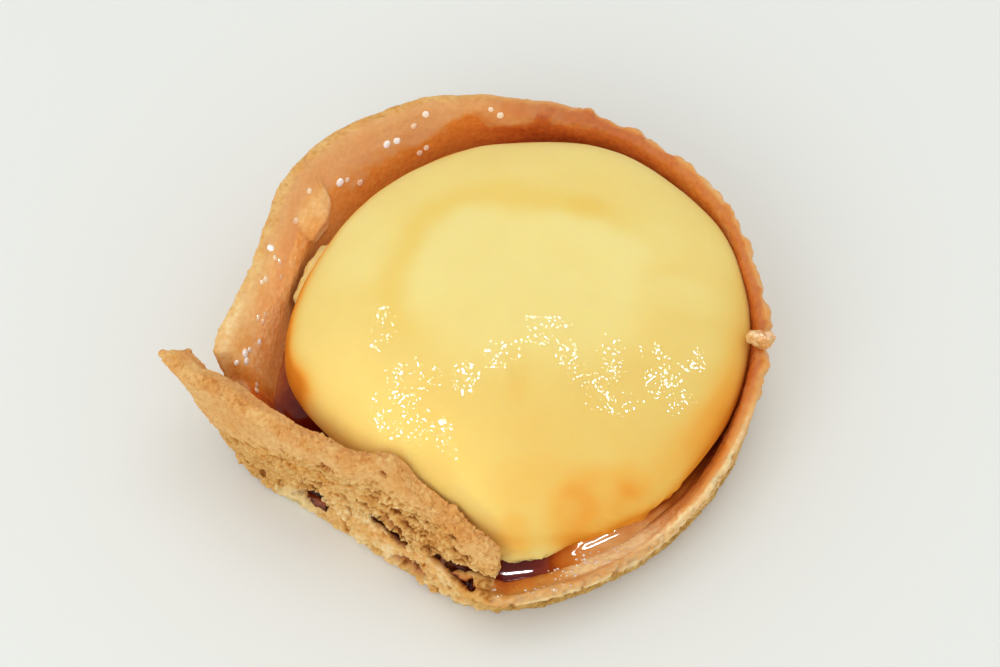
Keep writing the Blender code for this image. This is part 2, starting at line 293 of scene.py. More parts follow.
# %% Colours and nodes
def srgb(code):
    channels = [int(code[place:place + 2], 16) / 255 for place in (1, 3, 5)]
    linear = [c / 12.92 if c <= 0.04045 else ((c + 0.055) / 1.055) ** 2.4 for c in channels]
    return (*linear, 1.0)


def add(tree, kind, sockets=None, out=0, stops=None, **options):
    """Adds a shader node and returns one of its outputs. Stops are a ramp's {place: hex}."""
    node = tree.nodes.new("ShaderNode" + kind)
    for option, value in options.items():
        setattr(node, option, value)
    for socket, value in (sockets or {}).items():
        if isinstance(value, bpy.types.NodeSocket):
            tree.links.new(value, node.inputs[socket])
        else:
            node.inputs[socket].default_value = value
    for number, (place, code) in enumerate((stops or {}).items()):
        points = node.color_ramp.elements
        point = points[number] if number < len(points) else points.new(place)
        point.position, point.color = place, srgb(code)
    return node.outputs[out] if node.outputs else None


def new_finish(name):
    finish = bpy.data.materials.new(name)
    finish.use_nodes = True
    finish.node_tree.nodes.clear()
    return finish, finish.node_tree


MIX_FACTOR, MIX_A, MIX_B, MIX_OUT = 0, 6, 7, 2      # the colour sockets of a Mix node
FAC = 2                                             # an Attribute node's single number

# %% [markdown]
# ## Baked shortcrust
#
# Flour, butter and sugar, pressed into a tin and baked. It is dry and matt, a golden tan. Its colour follows
# how high a point stands: darker in the pores and creases, which is a painted shade, and paler on the crowns
# of the grains, which is a painted highlight. Where caramel has soaked it, it turns to the orange brown of
# toffee and shines. So the crust has one material with two states, and the attribute "glaze" goes from the
# first to the second. "depth" says how much syrup lies on it, from a film to a dark pool. "relief" says how
# high a point stands, and it sets that painted shade. "ochre" marks where the crumb is moist and yellowish,
# and "pink" where it is smooth and browned. The sandy grit is finer than the faces, so it is bump.

# %% Shortcrust
GRIT = 0.3          # millimetres between grains of the sandy bump
BLOTCH = 5.0        # millimetres across the patches where the oven browned it more
FLECK = 0.8         # millimetres across single darker grains
DIMPLE = 0.7        # millimetres between dimples of the syrup's skin
DRY_TAN_WITH_PAINTED_SHADE = {0.0: "#8A4413", 0.22: "#C4853C", 0.45: "#E4B067", 0.7: "#F0C884", 1.0: "#FADFAC"}
MOIST_TAN_WITH_PAINTED_SHADE = {0.0: "#7E4D0E", 0.3: "#B07C30", 0.6: "#CC9F4E", 1.0: "#E6C47C"}
TOFFEE = {0.0: "#FDEBB4", 0.2: "#E6A65C", 0.4: "#DC8A38", 0.6: "#C66528", 0.8: "#92371A", 1.0: "#4E1208"}


def shortcrust():
    finish, tree = new_finish("baked shortcrust")
    place = add(tree, "TexCoord", out="Object")
    grit, blotch, fleck, dimples = [
        add(tree, "TexNoise", {"Vector": place, "Scale": 1 / (size * MM), "Detail": detail})
        for size, detail in ((GRIT, 3.0), (BLOTCH, 4.0), (FLECK, 3.0), (DIMPLE, 1.0))]
    glaze, depth, relief, ochre, pink = [add(tree, "Attribute", attribute_name=name, out=FAC)
                                         for name in ("glaze", "depth", "relief", "ochre", "pink")]

    spots = add(tree, "MapRange", {"Value": fleck, "From Min": 0.3, "From Max": 0.7,
                                   "To Min": -0.14, "To Max": 0.14})
    height = add(tree, "Math", {0: relief, 1: spots}, operation="ADD")
    # these ramps read relief, so pores and creases get a painted shade and the crowns a painted highlight
    dry = add(tree, "ValToRGB", {"Fac": height}, stops=DRY_TAN_WITH_PAINTED_SHADE)
    moist = add(tree, "ValToRGB", {"Fac": height}, stops=MOIST_TAN_WITH_PAINTED_SHADE)
    browned = add(tree, "Mix", {MIX_FACTOR: 1.0, MIX_A: dry, MIX_B: srgb("#F4D9AE")}, out=MIX_OUT,
                  data_type="RGBA", blend_type="MULTIPLY")
    patch = add(tree, "MapRange", {"Value": blotch, "From Min": 0.42, "From Max": 0.66})
    uneven = add(tree, "MapRange", {"Value": fleck, "From Min": 0.2, "From Max": 0.8,
                                    "To Min": -0.08, "To Max": 0.08})
    syrup_depth = add(tree, "Math", {0: depth, 1: uneven}, operation="ADD")
    glazed = add(tree, "ValToRGB", {"Fac": syrup_depth}, stops=TOFFEE)
    colour = dry
    for amount, other in ((patch, browned), (pink, srgb("#DCA26E")), (ochre, moist), (glaze, glazed)):
        colour = add(tree, "Mix", {MIX_FACTOR: amount, MIX_A: colour, MIX_B: other}, out=MIX_OUT,
                     data_type="RGBA")

    rough = add(tree, "MapRange", {"Value": depth, "From Min": 0.0, "From Max": 0.6,
                                   "To Min": 0.32, "To Max": 0.12})
    rough = add(tree, "Mix", {0: glaze, 2: 0.85, 3: rough}, data_type="FLOAT")
    dimpled = add(tree, "MapRange", {"Value": glaze, "To Min": 0.0, "To Max": 0.7})
    bump = add(tree, "Bump", {"Strength": dimpled, "Distance": 0.2 * MM, "Height": dimples})
    gritty = add(tree, "MapRange", {"Value": glaze, "To Min": 0.8, "To Max": 0.0})
    bump = add(tree, "Bump", {"Strength": gritty, "Distance": 0.16 * MM, "Height": grit, "Normal": bump})
    surface = add(tree, "BsdfPrincipled", {
        "Base Color": colour, "Roughness": rough, "Normal": bump, "IOR": 1.46,
        "Subsurface Weight": 0.12, "Subsurface Radius": (1.0, 0.5, 0.2), "Subsurface Scale": 0.8 * MM})
    add(tree, "OutputMaterial", {"Surface": surface})
    return finish


CRUST_FINISH = shortcrust()
print("shortcrust:", len(CRUST_FINISH.node_tree.nodes), "nodes")

# %% [markdown]
# ## Crumbs
#
# Wherever the crust broke or rubbed, loose crumbs cling to it. Each is a squashed ball of a random
# size, sunk into the surface, so that the voxel skin melts it in. Some are strewn over chosen
# faces, and others are spilt along a line, such as the foot of the tart.

# %% Set crumbs on a shape
BATCH = 40          # crumbs made at once, since adding to a large bmesh is slow
CRUMB_SIDES = ((0.7, 1.2), (0.7, 1.2), (0.6, 1.0))      # how much a crumb is squashed or stretched


def set_crumbs(shape, crumbs, dice):
    """Adds a squashed ball for each (centre, radius)."""
    for first in range(0, len(crumbs), BATCH):
        few = bmesh.new()
        for centre, radius in crumbs[first:first + BATCH]:
            sides = [dice.uniform(least, greatest) for least, greatest in CRUMB_SIDES]
            squash = Matrix.Diagonal((*sides, 1))
            lie = Vector([dice.uniform(-1, 1) for _ in range(3)])
            turn = lie.to_track_quat("Z", "Y").to_matrix().to_4x4()
            bmesh.ops.create_icosphere(few, subdivisions=2, radius=radius,
                                       matrix=Matrix.Translation(centre) @ turn @ squash)
        batch = to_mesh(few, "crumbs")
        shape.from_mesh(batch)
        bpy.data.meshes.remove(batch)


def strew_crumbs(shape, faces, count, smallest, largest, sunk, dice):
    """Sets crumbs at random places on the given faces, sunk by a share of their size."""
    areas = [face.calc_area() for face in faces]
    crumbs = []
    for face in dice.choices(faces, areas, k=count):
        weights = [dice.random() for _ in face.verts]
        spot = sum((vert.co * weight for vert, weight in zip(face.verts, weights)), Vector()) / sum(weights)
        radius = smallest + (largest - smallest) * dice.random() ** 2
        crumbs.append((spot - face.normal * radius * sunk, radius))
    set_crumbs(shape, crumbs, dice)


def spill_crumbs(shape, line, first, last, count, heights, sizes, inset, dice):
    """Sets crumbs inside a line of {angle: radius}, by a share of their size, from angle to angle."""
    crumbs = []
    for _ in range(count):
        angle, size = dice.uniform(first, last), dice.uniform(*sizes)
        height = max(dice.uniform(*heights), 0.75 * size)
        crumbs.append((turned(angle, by_angle(line, angle) - size * inset, height), size))
    set_crumbs(shape, crumbs, dice)


def middle(face):
    return face.calc_center_median()


def close_flat(mesh, chosen):
    """Replaces the chosen faces, which lie in one plane, by a single face."""
    shape = bmesh.new()
    shape.from_mesh(mesh)
    bmesh.ops.delete(shape, geom=[face for face in shape.faces if chosen(face)], context="FACES")
    bmesh.ops.holes_fill(shape, edges=[edge for edge in shape.edges if edge.is_boundary], sides=0)
    bmesh.ops.triangulate(shape, faces=[face for face in shape.faces if len(face.verts) > 4])
    shape.to_mesh(mesh)
    shape.free()


# %% [markdown]
# ## The shell
#
# The shell was pressed into a round tin by hand, so it is never quite round, and its rim crumbled
# as it came out. One voxel skin melts the crumbs into the wall. The floor under the filling is
# never seen, and the base is flat, so both are closed again by one face each after the remesh.

# %% Skin of the shell
SHELL_FACE = 0.4                            # size of the skin's faces
FLOOR_LEVEL, FLOOR_RADIUS = 4.0, 31.5       # of the shell's floor, as in the solid
BASE_RADIUS = 36.0                          # of the flat part of its underside
WALL_FROM = 33.0                            # the wall stands further out than this
# the foot of the tart, where the wall broke away
FOOT_LINE = {
    196: 46.8, 200.8: 45.6, 203.2: 44.8, 205.7: 43.5, 208.2: 42.3, 210.8: 41.1, 213.5: 40.1, 216.6: 39.2,
    219.8: 38.4, 223.4: 37.8, 227.5: 37.4, 235.6: 37.2, 240.6: 37.5, 246.2: 38.6, 250: 39.1, 253.9: 39.8,
    257.4: 40.1, 261.5: 40.5, 266: 40.6}
# crumbs spilt along it: first and last angle, number, heights, sizes, and how far inside in sizes
SPILLS = ((207, 218, 110, (0.8, 2.6), (0.5, 1.1), 0.95), (216, 266, 300, (0.5, 5.0), (0.35, 0.85), 0.95),
          (250, 258, 26, (6.4, 8.0), (0.3, 0.6), 1.6), (256, 264.5, 90, (7.6, 9.6), (0.35, 0.85), 1.9),
          (204, 214.5, 130, (1.8, 6.4), (0.5, 1.1), 2.6), (215, 221, 40, (1.0, 3.6), (0.4, 0.9), 1.2))
dice = random.Random(SEED)

shell = merged_copy("crust")
outside = [face for face in shell.faces if middle(face).z > 1.2 and face.normal.z < 0.35
           and face.normal.xy.dot(middle(face).xy) > 0]
rim = [face for face in shell.faces if face.normal.z > 0.35 and middle(face).xy.length > WALL_FROM]
rim_edge = [face for face in outside if face.normal.z > -0.2 and middle(face).z > 17 and middle(face).x > 0]
# strewn over faces: number, smallest and largest size, and how deep they are sunk
for faces, *crumbs in ((outside, 420, 0.5, 1.2, 0.75), (rim, 160, 0.4, 0.9, 0.75),
                       (rim_edge, 110, 0.8, 1.7, 0.6)):
    strew_crumbs(shell, faces, *crumbs, dice)
for spill in SPILLS:
    spill_crumbs(shell, FOOT_LINE, *spill, dice)
shell_mesh = voxel_skin(shell, SHELL_FACE, "shell")
close_flat(shell_mesh, lambda face: middle(face).xy.length < FLOOR_RADIUS
           and face.normal.z > 0.9 and middle(face).z < FLOOR_LEVEL + 0.5)
close_flat(shell_mesh, lambda face: middle(face).xy.length < BASE_RADIUS
           and face.normal.z < -0.9 and middle(face).z < 0.3)
print("shell:", len(shell_mesh.polygons), "faces")

# %% [markdown]
# ### Cracks
#
# Where the wall snapped, cracks run through the crumb to the dark syrup behind. They are lines given as
# (right, up, half width) on a plane that faces the front, and the distance from a point to the nearest line
# says how deep it lies in a crack. The shell and the broken wall share them.

# %% Cracks
# the cracks are coloured as the darkest syrup: partly the syrup in them, and partly painted shade down in
# them
CRACKS = (
    ((-33.0, -14.6, 0.5), (-32.2, -15.2, 1.0), (-31.2, -16.1, 1.4), (-30.4, -17.1, 1.3), (-29.7, -17.9, 0.7)),
    ((-26.6, -15.6, 0.3), (-26.0, -16.5, 0.6), (-25.7, -17.0, 0.3)),
    ((-22.3, -18.9, 0.3), (-21.5, -19.2, 0.6), (-20.0, -19.5, 0.9), (-18.9, -20.4, 1.1), (-17.9, -22.0, 1.0),
     (-17.3, -23.3, 0.5)),
    ((-19.0, -25.7, 0.4), (-17.2, -26.3, 0.8), (-15.9, -27.2, 0.9), (-14.7, -28.1, 0.6)),
    ((-13.4, -24.0, 0.5), (-12.0, -24.9, 0.9), (-10.9, -25.8, 1.1), (-9.4, -26.8, 1.2), (-7.9, -28.1, 1.0),
     (-6.9, -29.3, 0.5)),
    ((-20.2, -11.9, 0.3), (-19.8, -12.3, 0.4)),
    ((-29.3, -10.9, 0.4), (-28.6, -11.6, 0.6)))
SHELL_CRACK, FLAP_CRACK = 1.9, 2.3      # their depth in the shell and in the broken wall
SHELL_WIDER = 1.4                       # how much wider they are in the shell
RISE, RUN = 0.848, 0.53                 # sine and cosine of 58 degrees, from where they are drawn


def crack_depth(places, normals, wider=1.0):
    """1 in the middle of a crack, 0 beyond its ragged edge and on faces turned from the front."""
    right = places[:, 0] + 0.3 * swells(places, 0.5, 60)
    up = RISE * places[:, 1] + RUN * places[:, 2] + 0.3 * swells(places, 0.5, 61)
    deepest = np.zeros(len(places))
    for crack in CRACKS:
        for (u0, v0, w0), (u1, v1, w1) in zip(crack, crack[1:]):
            step = np.array((u1 - u0, v1 - v0))
            share = np.clip(((right - u0) * step[0] + (up - v0) * step[1]) / step.dot(step), 0, 1)
            far = np.hypot(right - u0 - share * step[0], up - v0 - share * step[1])
            deepest = most(deepest, ease(1.0, 0.5, far / (wider * (w0 + (w1 - w0) * share))))
    return deepest * ease(0.0, 0.3, normals @ np.array((0.0, -RUN, RISE)))


# %% [markdown]
# ### Where the shell is dry and where it is glazed
#
# The syrup climbed the inside of the wall. At the back left it stopped some 6 mm below the rim and
# left a dry band, at the back and the right it ran over the top, and along the broken front it
# covers the low slope up to the lip. A flake has peeled off the inside at the back left, a few
# crumbs bridge the break at the front, and a low shelf is left beside the broken wall's left end.

# %% Where the syrup lies on the shell
# how far below the rim it stopped, and how much of it ran over the top
DRY_BAND = {0: 0.2, 60: 0.2, 80: 0.5, 98: 2.2, 112: 5.5, 130: 6.6, 150: 6.2, 175: 5.5, 187: 5.2, 189: 1.0,
            191: 0.0, 252: 0.4, 300: 0.3}
GLAZED_TOP = {0: 0.9, 70: 0.9, 92: 0.6, 105: 0.1, 195: 0.0, 252: 0.2, 262: 0.6, 300: 0.6, 330: 0.8}
# how deep it looks on the wall, at its upper edge and at the gutter; from 160 to 187 degrees it is set low,
# so the left wall is painted paler as painted light where that wall lies in shade
THIN_WITH_PAINTED_LIGHT = {0: 0.6, 40: 0.5, 60: 0.62, 85: 0.66, 105: 0.46, 130: 0.34, 160: 0.14, 187: 0.14, 192: 0.5}
DEEP_WITH_PAINTED_LIGHT = {0: 0.8, 60: 0.78, 90: 0.56, 130: 0.44, 160: 0.2, 187: 0.22, 192: 0.7}
WALL_THIN, WALL_DARK = 18.0, 9.5            # heights between which it goes from the first to the second
FRONT_THIN, FRONT_DARK = 9.8, 7.4           # the same along the low front
FRONT_DEPTH = {200: 0.8, 255: 0.8, 268: 0.7, 273: 0.6, 279: 0.3, 283: 0.06, 300: 0.0, 315: 0.3, 330: 0.5}
FRONT = {0: 0.0, 200: 0.0, 215: 1.0, 300: 1.0, 325: 0.4, 345: 0.0}      # 1 where the wall is low
CRUMB_BRIDGE = (254, 256, 264, 266)
LOW_SLOPE = (274, 279, 312, 318)
UNDER_BREAK_POOL_AND_SHADE = (246, 250, 262, 267)
FLAKE_AT, FLAKE_HEIGHTS = 146.0, (12.3, 13.1, 19.4, 22.4)
RIM_STEP = 2.5                              # degrees between measures of the rim's height

places, normals = points_of(shell_mesh)
angle, reach = around(places)
height, outward = places[:, 2], outwards(places, normals)
on_wall = reach > WALL_FROM
rim_height = np.zeros(int(360 / RIM_STEP))
np.maximum.at(rim_height, (angle / RIM_STEP).astype(int), height)
rim_angles = (np.arange(len(rim_height)) + 0.5) * RIM_STEP
below = np.interp(angle, rim_angles, rim_height, period=360) - height

broad, narrow = swells(places, 4.5, 1), swells(places, 1.6, 2)
inside = ease(0.45, -0.1, outward) * (reach > 25)
flake_width = 3.0 + 3.6 * ease(12.0, 18.0, height)
flake = inside * ease(1.0, 0.82, np.abs(angle - FLAKE_AT) / flake_width + 0.08 * narrow)
flake = flake * between(height, *FLAKE_HEIGHTS)
over_top = by_angle(GLAZED_TOP, angle) * ease(2.4, 0.6, below + 1.2 * narrow) * (normals[:, 2] > -0.3)
climbed = ease(-1.0, 1.2, below - by_angle(DRY_BAND, angle) + 2.2 * broad + 0.8 * narrow)
bridge = between(angle, *CRUMB_BRIDGE) * ease(7.9, 8.6, height) * (reach > 37)
low_slope = between(angle, *LOW_SLOPE) * ease(39.6, 38.4, reach) * (normals[:, 2] > 0.2) * on_wall
glaze = most(inside * climbed * (1 - flake), over_top, low_slope) * (1 - bridge)

front = by_angle(FRONT, angle)
sinking = ease(WALL_THIN, WALL_DARK, height + 1.6 * broad)
wall_depth = by_angle(THIN_WITH_PAINTED_LIGHT, angle) * (1 - sinking) + by_angle(DEEP_WITH_PAINTED_LIGHT, angle) * sinking
front_depth = ease(FRONT_THIN, FRONT_DARK, height + 0.6 * broad) * by_angle(FRONT_DEPTH, angle)
# the slope under the broken wall gets nearly the darkest syrup: partly the pool there, and partly painted
# shade under the overhang
front_depth = most(front_depth, 0.92 * between(angle, *UNDER_BREAK_POOL_AND_SHADE) * inside * (1 - bridge))
depth = wall_depth * (1 - front) + front_depth * front - 0.34 * ease(-0.1, 0.5, outward)
print(f"glazed share of the shell: {glaze.mean():.2f}")

# %% Relief and colour of the shell
SHELF, TORN_FOOT, FOOT_LUMPS = (198, 206, 214, 224), (214, 220, 260, 268), (222, 227, 238, 243)
SCALLOPS = (-60, -45, 60, 75)
FULL_RIM = (64, 74, 92, 102)
GOLDEN = (150, 172, 192, 200)

cracks = crack_depth(places, normals, SHELL_WIDER) * on_wall
shelf = between(angle, *SHELF) * ease(5.0, 3.0, height) * on_wall
low_front = ease(252, 262, angle) * ease(8.6, 7.4, height + 0.4 * narrow) * ease(0.1, 0.5, outward)
low_outside = most(0.7 * ease(7.0, 1.5, height) * ease(0.1, 0.6, outward), low_front)
torn_foot, foot_lumps = [between(angle, *stretch) * ease(-0.2, 0.3, outward)
                         for stretch in (TORN_FOOT, FOOT_LUMPS)]
pores = pore_depth(places, 1.3, 0.32) * ease(-0.2, 0.5, outward) * (1 - ease(16, 20, height))
crumb = crumbled(places, 1.3, 3)
worn = most(ease(0.2, -0.3, outward), ease(14, 19, height))
scallops = between((angle + 180) % 360 - 180, *SCALLOPS) * ease(0.0, 0.6, outward) * ease(17, 20, height)
dry_relief = 0.7 * crumb * (0.8 + 0.3 * torn_foot - 0.6 * worn) - 0.6 * pores
glazed_relief = 0.08 * narrow + 0.1 * crumb
moved = ((1 - glaze) * dry_relief + glaze * glazed_relief + 0.12 * broad + 0.5 * flake + 0.2 * low_front
         - SHELL_CRACK * cracks * (1 + 0.5 * narrow) + 0.9 * scallops * swells(places, 2.6, 5)
         + 0.5 * between(angle, *FULL_RIM) * ease(18, 21, height))
flat_parts = (height < 0.35) | ((reach < FLOOR_RADIUS) & (height < FLOOR_LEVEL + 0.5))
push(shell_mesh, places, normals, np.where(flat_parts, 0.0, moved))

golden = between(angle, *GOLDEN) * (1 + 0.8 * ease(176, 184, angle) * inside)
lip = front * ease(0.1, 0.6, normals[:, 2]) * ease(38.2, 39.6, reach) * ease(255, 262, angle)
browned = ease(-0.4, 0.9, below - 2.0 * outward + 0.8 * narrow) * ease(10, 14, height)
# relief sets the colour here, so pores and creases get a painted shade and crowns a painted highlight; the
# cracks get the darkest syrup, which is partly painted shade
keep(shell_mesh, glaze=most(glaze, cracks, 0.45 * shelf),
     depth=most(depth * (1 - shelf), cracks, 0.14 * lip),
     relief=0.47 + 0.6 * crumb * (1 - 0.6 * worn) - 0.5 * pores + 0.2 * torn_foot + 0.28 * flake
     + 0.2 * golden + 0.16 * foot_lumps + 0.25 * shelf - 0.2 * lip,
     ochre=most(low_outside * (1 - 0.6 * torn_foot), 0.8 * shelf, 0.3 * lip),
     pink=worn * (1 - glaze) * (0.8 - 0.6 * flake - 0.3 * golden) * browned)
shell_piece = publish("shortcrust_shell", shell_mesh, CRUST_FINISH, "crust", "crust")

# %% [markdown]
# ## The broken wall
#
# This is the side that snapped off. Its outside was baked against the tin: fine and sandy near the
# rim, and torn open lower down, where grains stand out. At the left its outer skin has scaled off
# along the foot and shows a moist, darker layer. It gets more crumbs than the shell, and finer
# faces, since it is what the eye goes to first. Along its foot some crumbs still bridge the break.
# The inner corner of its left end is broken off, which is a ball cut out of the solid, and its
# crest has sagged outwards a little where it leans on the pudding.

# %% Skin of the broken wall
FLAP_FACE = 0.2
# its foot: {angle: radius} and {angle: height}
BREAK = {216: 38.6, 220.5: 37.6, 226: 36.9, 233: 36.3, 241: 36.6, 246.5: 37.0, 251.5: 37.5}
BREAK_HEIGHT = {216: 6.2, 220.5: 7.1, 226: 8.5, 233: 9.9, 241: 9.0, 246.5: 10.0, 251.5: 11.2}
TONGUE_SPILL = (198.5, 207.5, 75, (0.9, 3.4), (0.5, 1.1), 0.95)     # crumbs spilt below its left end
BRIDGED = ((218.6, 225.0), (227.6, 231.6), (243.8, 249.0))      # angles where crumbs bridge the break
PER_DEGREE = 4                                                  # of those crumbs
NOTCH, NOTCH_SIZE = (-47.9, -3.2, 16.8), 4.4                    # centre and radius of the ball
# lumps that stand on its crest: angle, radius, height and size
CREST_LUMPS = ((230.6, 32.6, 23.8, 1.0), (232.2, 32.4, 23.8, 1.1), (234.2, 32.1, 23.5, 1.1),
               (236.4, 31.8, 22.8, 1.0))

flap = without_ball(merged_copy("broken_wall"), NOTCH, NOTCH_SIZE, "flap")
flap_outside = [face for face in flap.faces if abs(face.normal.z) < 0.6
                and face.normal.xy.dot(middle(face).xy) > 0]
flap_low = [face for face in flap_outside if middle(face).z < 16]
flap_foot = [face for face in flap.faces if face.normal.z < -0.4]
flap_rim = [face for face in flap.faces if face.normal.z > 0.5]
for faces, *crumbs in ((flap_outside, 60, 0.3, 0.6, 0.85), (flap_low, 260, 0.3, 0.8, 0.75),
                       (flap_foot, 260, 0.35, 1.0, 0.6), (flap_rim, 200, 0.25, 0.6, 0.6)):
    strew_crumbs(flap, faces, *crumbs, dice)
spill_crumbs(flap, FOOT_LINE, *TONGUE_SPILL, dice)
for first, last in BRIDGED:
    for step in range(int((last - first) * PER_DEGREE)):
        at = first + step / PER_DEGREE
        top = by_angle(BREAK_HEIGHT, at)
        spill_crumbs(flap, BREAK, at, at + 0.3, 1, (top - 2.2, top + 0.6), (0.6, 1.2), 0.6, dice)
set_crumbs(flap, [(turned(*spot), size) for *spot, size in CREST_LUMPS], dice)
flap_mesh = voxel_skin(flap, FLAP_FACE, "flap")
print("broken wall:", len(flap_mesh.polygons), "faces")

# %% Relief and colour of the broken wall
# height below which the smooth outer skin gives way to open crumb
OPEN_BELOW = {184: 6, 198: 10, 204: 14, 210: 17, 216: 20, 225: 20.5, 235: 19, 245: 17.5, 255: 15.5, 266: 14.5}
# how far its crest has sunk along the pudding, and how far it moved outwards for each millimetre
SAGS = {200: 0.0, 206: 0.6, 212: 1.4, 218: 2.0, 224: 2.1, 228: 1.9, 230.5: 1.0, 234: 0.6, 238: 1.2, 241: 2.2,
        245: 2.7, 249: 2.7, 255: 2.0, 262: 1.6, 268: 1.0, 270: 0.0}
SAG_OUTWARDS = 0.6
# lower edge of the outer skin at the left
SKIN_EDGE = {184: 0, 193: 9.0, 197: 10.8, 200.6: 11.4, 203: 9.8, 205: 8.7, 208: 8.2, 211: 8.7, 213.5: 8.6,
             216: 7.2, 218: 3, 219: 0}
WORN_STRIP = (192, 196, 202, 206)
BROWN_PATCH, BROWN_HEIGHTS = (237, 242, 250, 256), (8, 10, 13, 16)

places, normals = points_of(flap_mesh)
angle, reach = around(places)
height, outward = places[:, 2], outwards(places, normals)
sag = by_angle(SAGS, angle) * ease(14.0, 23.0, height)
sagged = places.copy()
sagged[:, :2] *= (1 + SAG_OUTWARDS * sag / reach)[:, None]
sagged[:, 2] -= sag
facing_out, facing_in = ease(0.0, 0.4, outward), ease(0.1, -0.4, outward)
cracks = crack_depth(sagged, normals)
torn = ease(1.4, -1.4, height - by_angle(OPEN_BELOW, angle) + 1.8 * swells(places, 3.0, 6))
open_crumb = facing_out * torn
lumps = open_crumb * (grains(places, 1.9, 17) - 0.4)
scaled = facing_out * ease(0.25, -0.25, height - by_angle(SKIN_EDGE, angle) + 0.9 * swells(places, 1.1, 7))
stretched = np.stack((np.radians(angle) * 20.0, reach * 0.6, height), axis=-1)      # pits are wider than high
pits = most(pore_depth(stretched, 1.7, 0.42, 31), 0.6 * pore_depth(stretched, 0.8, 0.42, 35)) * open_crumb
ledges = np.abs(swells(stretched, 2.6, 8)) * open_crumb
crumb, fine, sand = crumbled(places, 1.0, 9), crumbled(places, 0.45, 12, octaves=2), swells(places, 0.5, 13)
facing_up = ease(0.3, 0.8, normals[:, 2])
crest = facing_up * (height > 15) * ease(205, 212, angle)
push(flap_mesh, sagged, normals,
     (0.1 + 0.42 * open_crumb) * crumb + (0.1 + 0.14 * open_crumb) * fine + 0.05 * sand + 0.4 * lumps
     + 0.14 * swells(places, 3.0, 14) + 0.5 * ledges - 0.95 * pits - FLAP_CRACK * cracks - 0.45 * scaled
     + crest * (0.6 * crumb + 0.3 * swells(places, 1.8, 16)))

browned = facing_out * between(angle, *BROWN_PATCH) * between(height, *BROWN_HEIGHTS)
low_inside = facing_in * ease(17.0, 12.0, height + 2 * swells(places, 2.0, 15))
low_crumb = torn * ease(12.5, 8.5, height) * ease(216, 222, angle)
# relief sets the colour here, so the pits get a painted shade and the crowns and ledges a painted highlight;
# the cracks get the darkest syrup, which is partly painted shade
keep(flap_mesh, glaze=most(0.85 * low_inside, cracks, 0.35 * scaled),
     depth=most(0.3 + 0.4 * ease(14.0, 8.0, height) * facing_in, cracks),
     relief=0.5 + (0.16 + 0.4 * open_crumb) * crumb + 0.16 * fine + 0.08 * sand - 0.75 * pits + 0.1 * ledges
     + 0.2 * lumps + 0.2 * low_crumb + 0.18 * scaled - 0.13 * facing_up * between(angle, *WORN_STRIP)
     - 0.14 * browned,
     ochre=most(scaled, 0.22 * torn), pink=most(0.35 * facing_in, 0.18 * facing_out * (1 - torn)))
publish("broken_wall_crumb", flap_mesh, CRUST_FINISH, "crust", "broken_wall")

# %% [markdown]
# ## Set custard
#
# Egg yolk, milk and sugar, steamed until it sets: a smooth, dense jelly. Light goes a few millimetres into it
# and comes back yellower, so it needs subsurface scattering. Its skin is dull where it has dried, and gleams
# in tiny dots where it is wet and wrinkled, so the wet coat lies only on the crests of a fine noise. Caramel
# has stained it orange round its foot and in a few faint patches. One attribute carries that. It also carries
# a painted shade along a ridge on top, and a paler foot beside the broken wall, which is painted light
# against that wall's shade. "ring" carries the deeper yellow line where its skin once dried, "wrinkled" where
# the dots are, and "folded" the longer folds between them.

# %% Custard
SPARKLE = 0.42       # millimetres between the finest wrinkles, which gleam one by one
CLOUD = 9.0          # millimetres across the faint clouds in its colour
YOLK = {0.0: "#F2E296", 0.2: "#F1D986", 0.4: "#EDCE76", 0.6: "#EFBF60", 0.8: "#ECA442", 1.0: "#DE8426"}


def custard():
    finish, tree = new_finish("set custard")
    place = add(tree, "TexCoord", out="Object")
    cloud, fine = [add(tree, "TexNoise", {"Vector": place, "Scale": 1 / (size * MM), "Detail": detail})
                   for size, detail in ((CLOUD, 3.0), (SPARKLE, 0.5))]
    stain, ring, wrinkled, folded = [add(tree, "Attribute", attribute_name=name, out=FAC)
                                     for name in ("stain", "ring", "wrinkled", "folded")]
    cloud = add(tree, "MapRange", {"Value": cloud, "From Min": 0.3, "From Max": 0.7,
                                   "To Min": -0.04, "To Max": 0.04})
    stain = add(tree, "Math", {0: stain, 1: cloud}, operation="ADD")
    colour = add(tree, "ValToRGB", {"Fac": stain}, stops=YOLK)
    colour = add(tree, "Mix", {MIX_FACTOR: ring, MIX_A: colour, MIX_B: srgb("#ECC658")}, out=MIX_OUT,
                 data_type="RGBA")
    dots = add(tree, "Math", {0: wrinkled, 1: 0.3, 2: fine}, operation="MULTIPLY_ADD")
    dots = add(tree, "MapRange", {"Value": dots, "From Min": 0.885, "From Max": 0.92})
    folds = add(tree, "Math", {0: folded, 1: 0.4, 2: fine}, operation="MULTIPLY_ADD")
    folds = add(tree, "MapRange", {"Value": folds, "From Min": 0.86, "From Max": 0.92})
    wet = add(tree, "Math", {0: dots, 1: folds}, operation="MAXIMUM")
    surface = add(tree, "BsdfPrincipled", {
        "Base Color": colour, "Roughness": 0.5, "IOR": 1.38,
        "Specular IOR Level": 0.0, "Coat Weight": wet, "Coat Roughness": 0.06, "Coat IOR": 1.38,
        "Subsurface Weight": 0.6, "Subsurface Radius": (1.0, 0.7, 0.3), "Subsurface Scale": 3.0 * MM})
    add(tree, "OutputMaterial", {"Surface": surface})
    return finish


CUSTARD_FINISH = custard()
print("custard:", len(CUSTARD_FINISH.node_tree.nodes), "nodes")

# %% [markdown]
# ## The pudding
#
# The solid is a grid wrapped round, so its triangles are joined back to four-sided faces and
# subdivided, which rounds it without a step. Its skin wrinkled a little in patches on top and in
# a frill along the front foot, and those wrinkles are real relief, because they break up every
# reflection there into small bright dots.

# %% Marks on the pudding, as seen from above
PLATEAU = (1.0, 3.0, 21.0, 16.5)       # pale middle of the dome: centre x, y, half size x, y
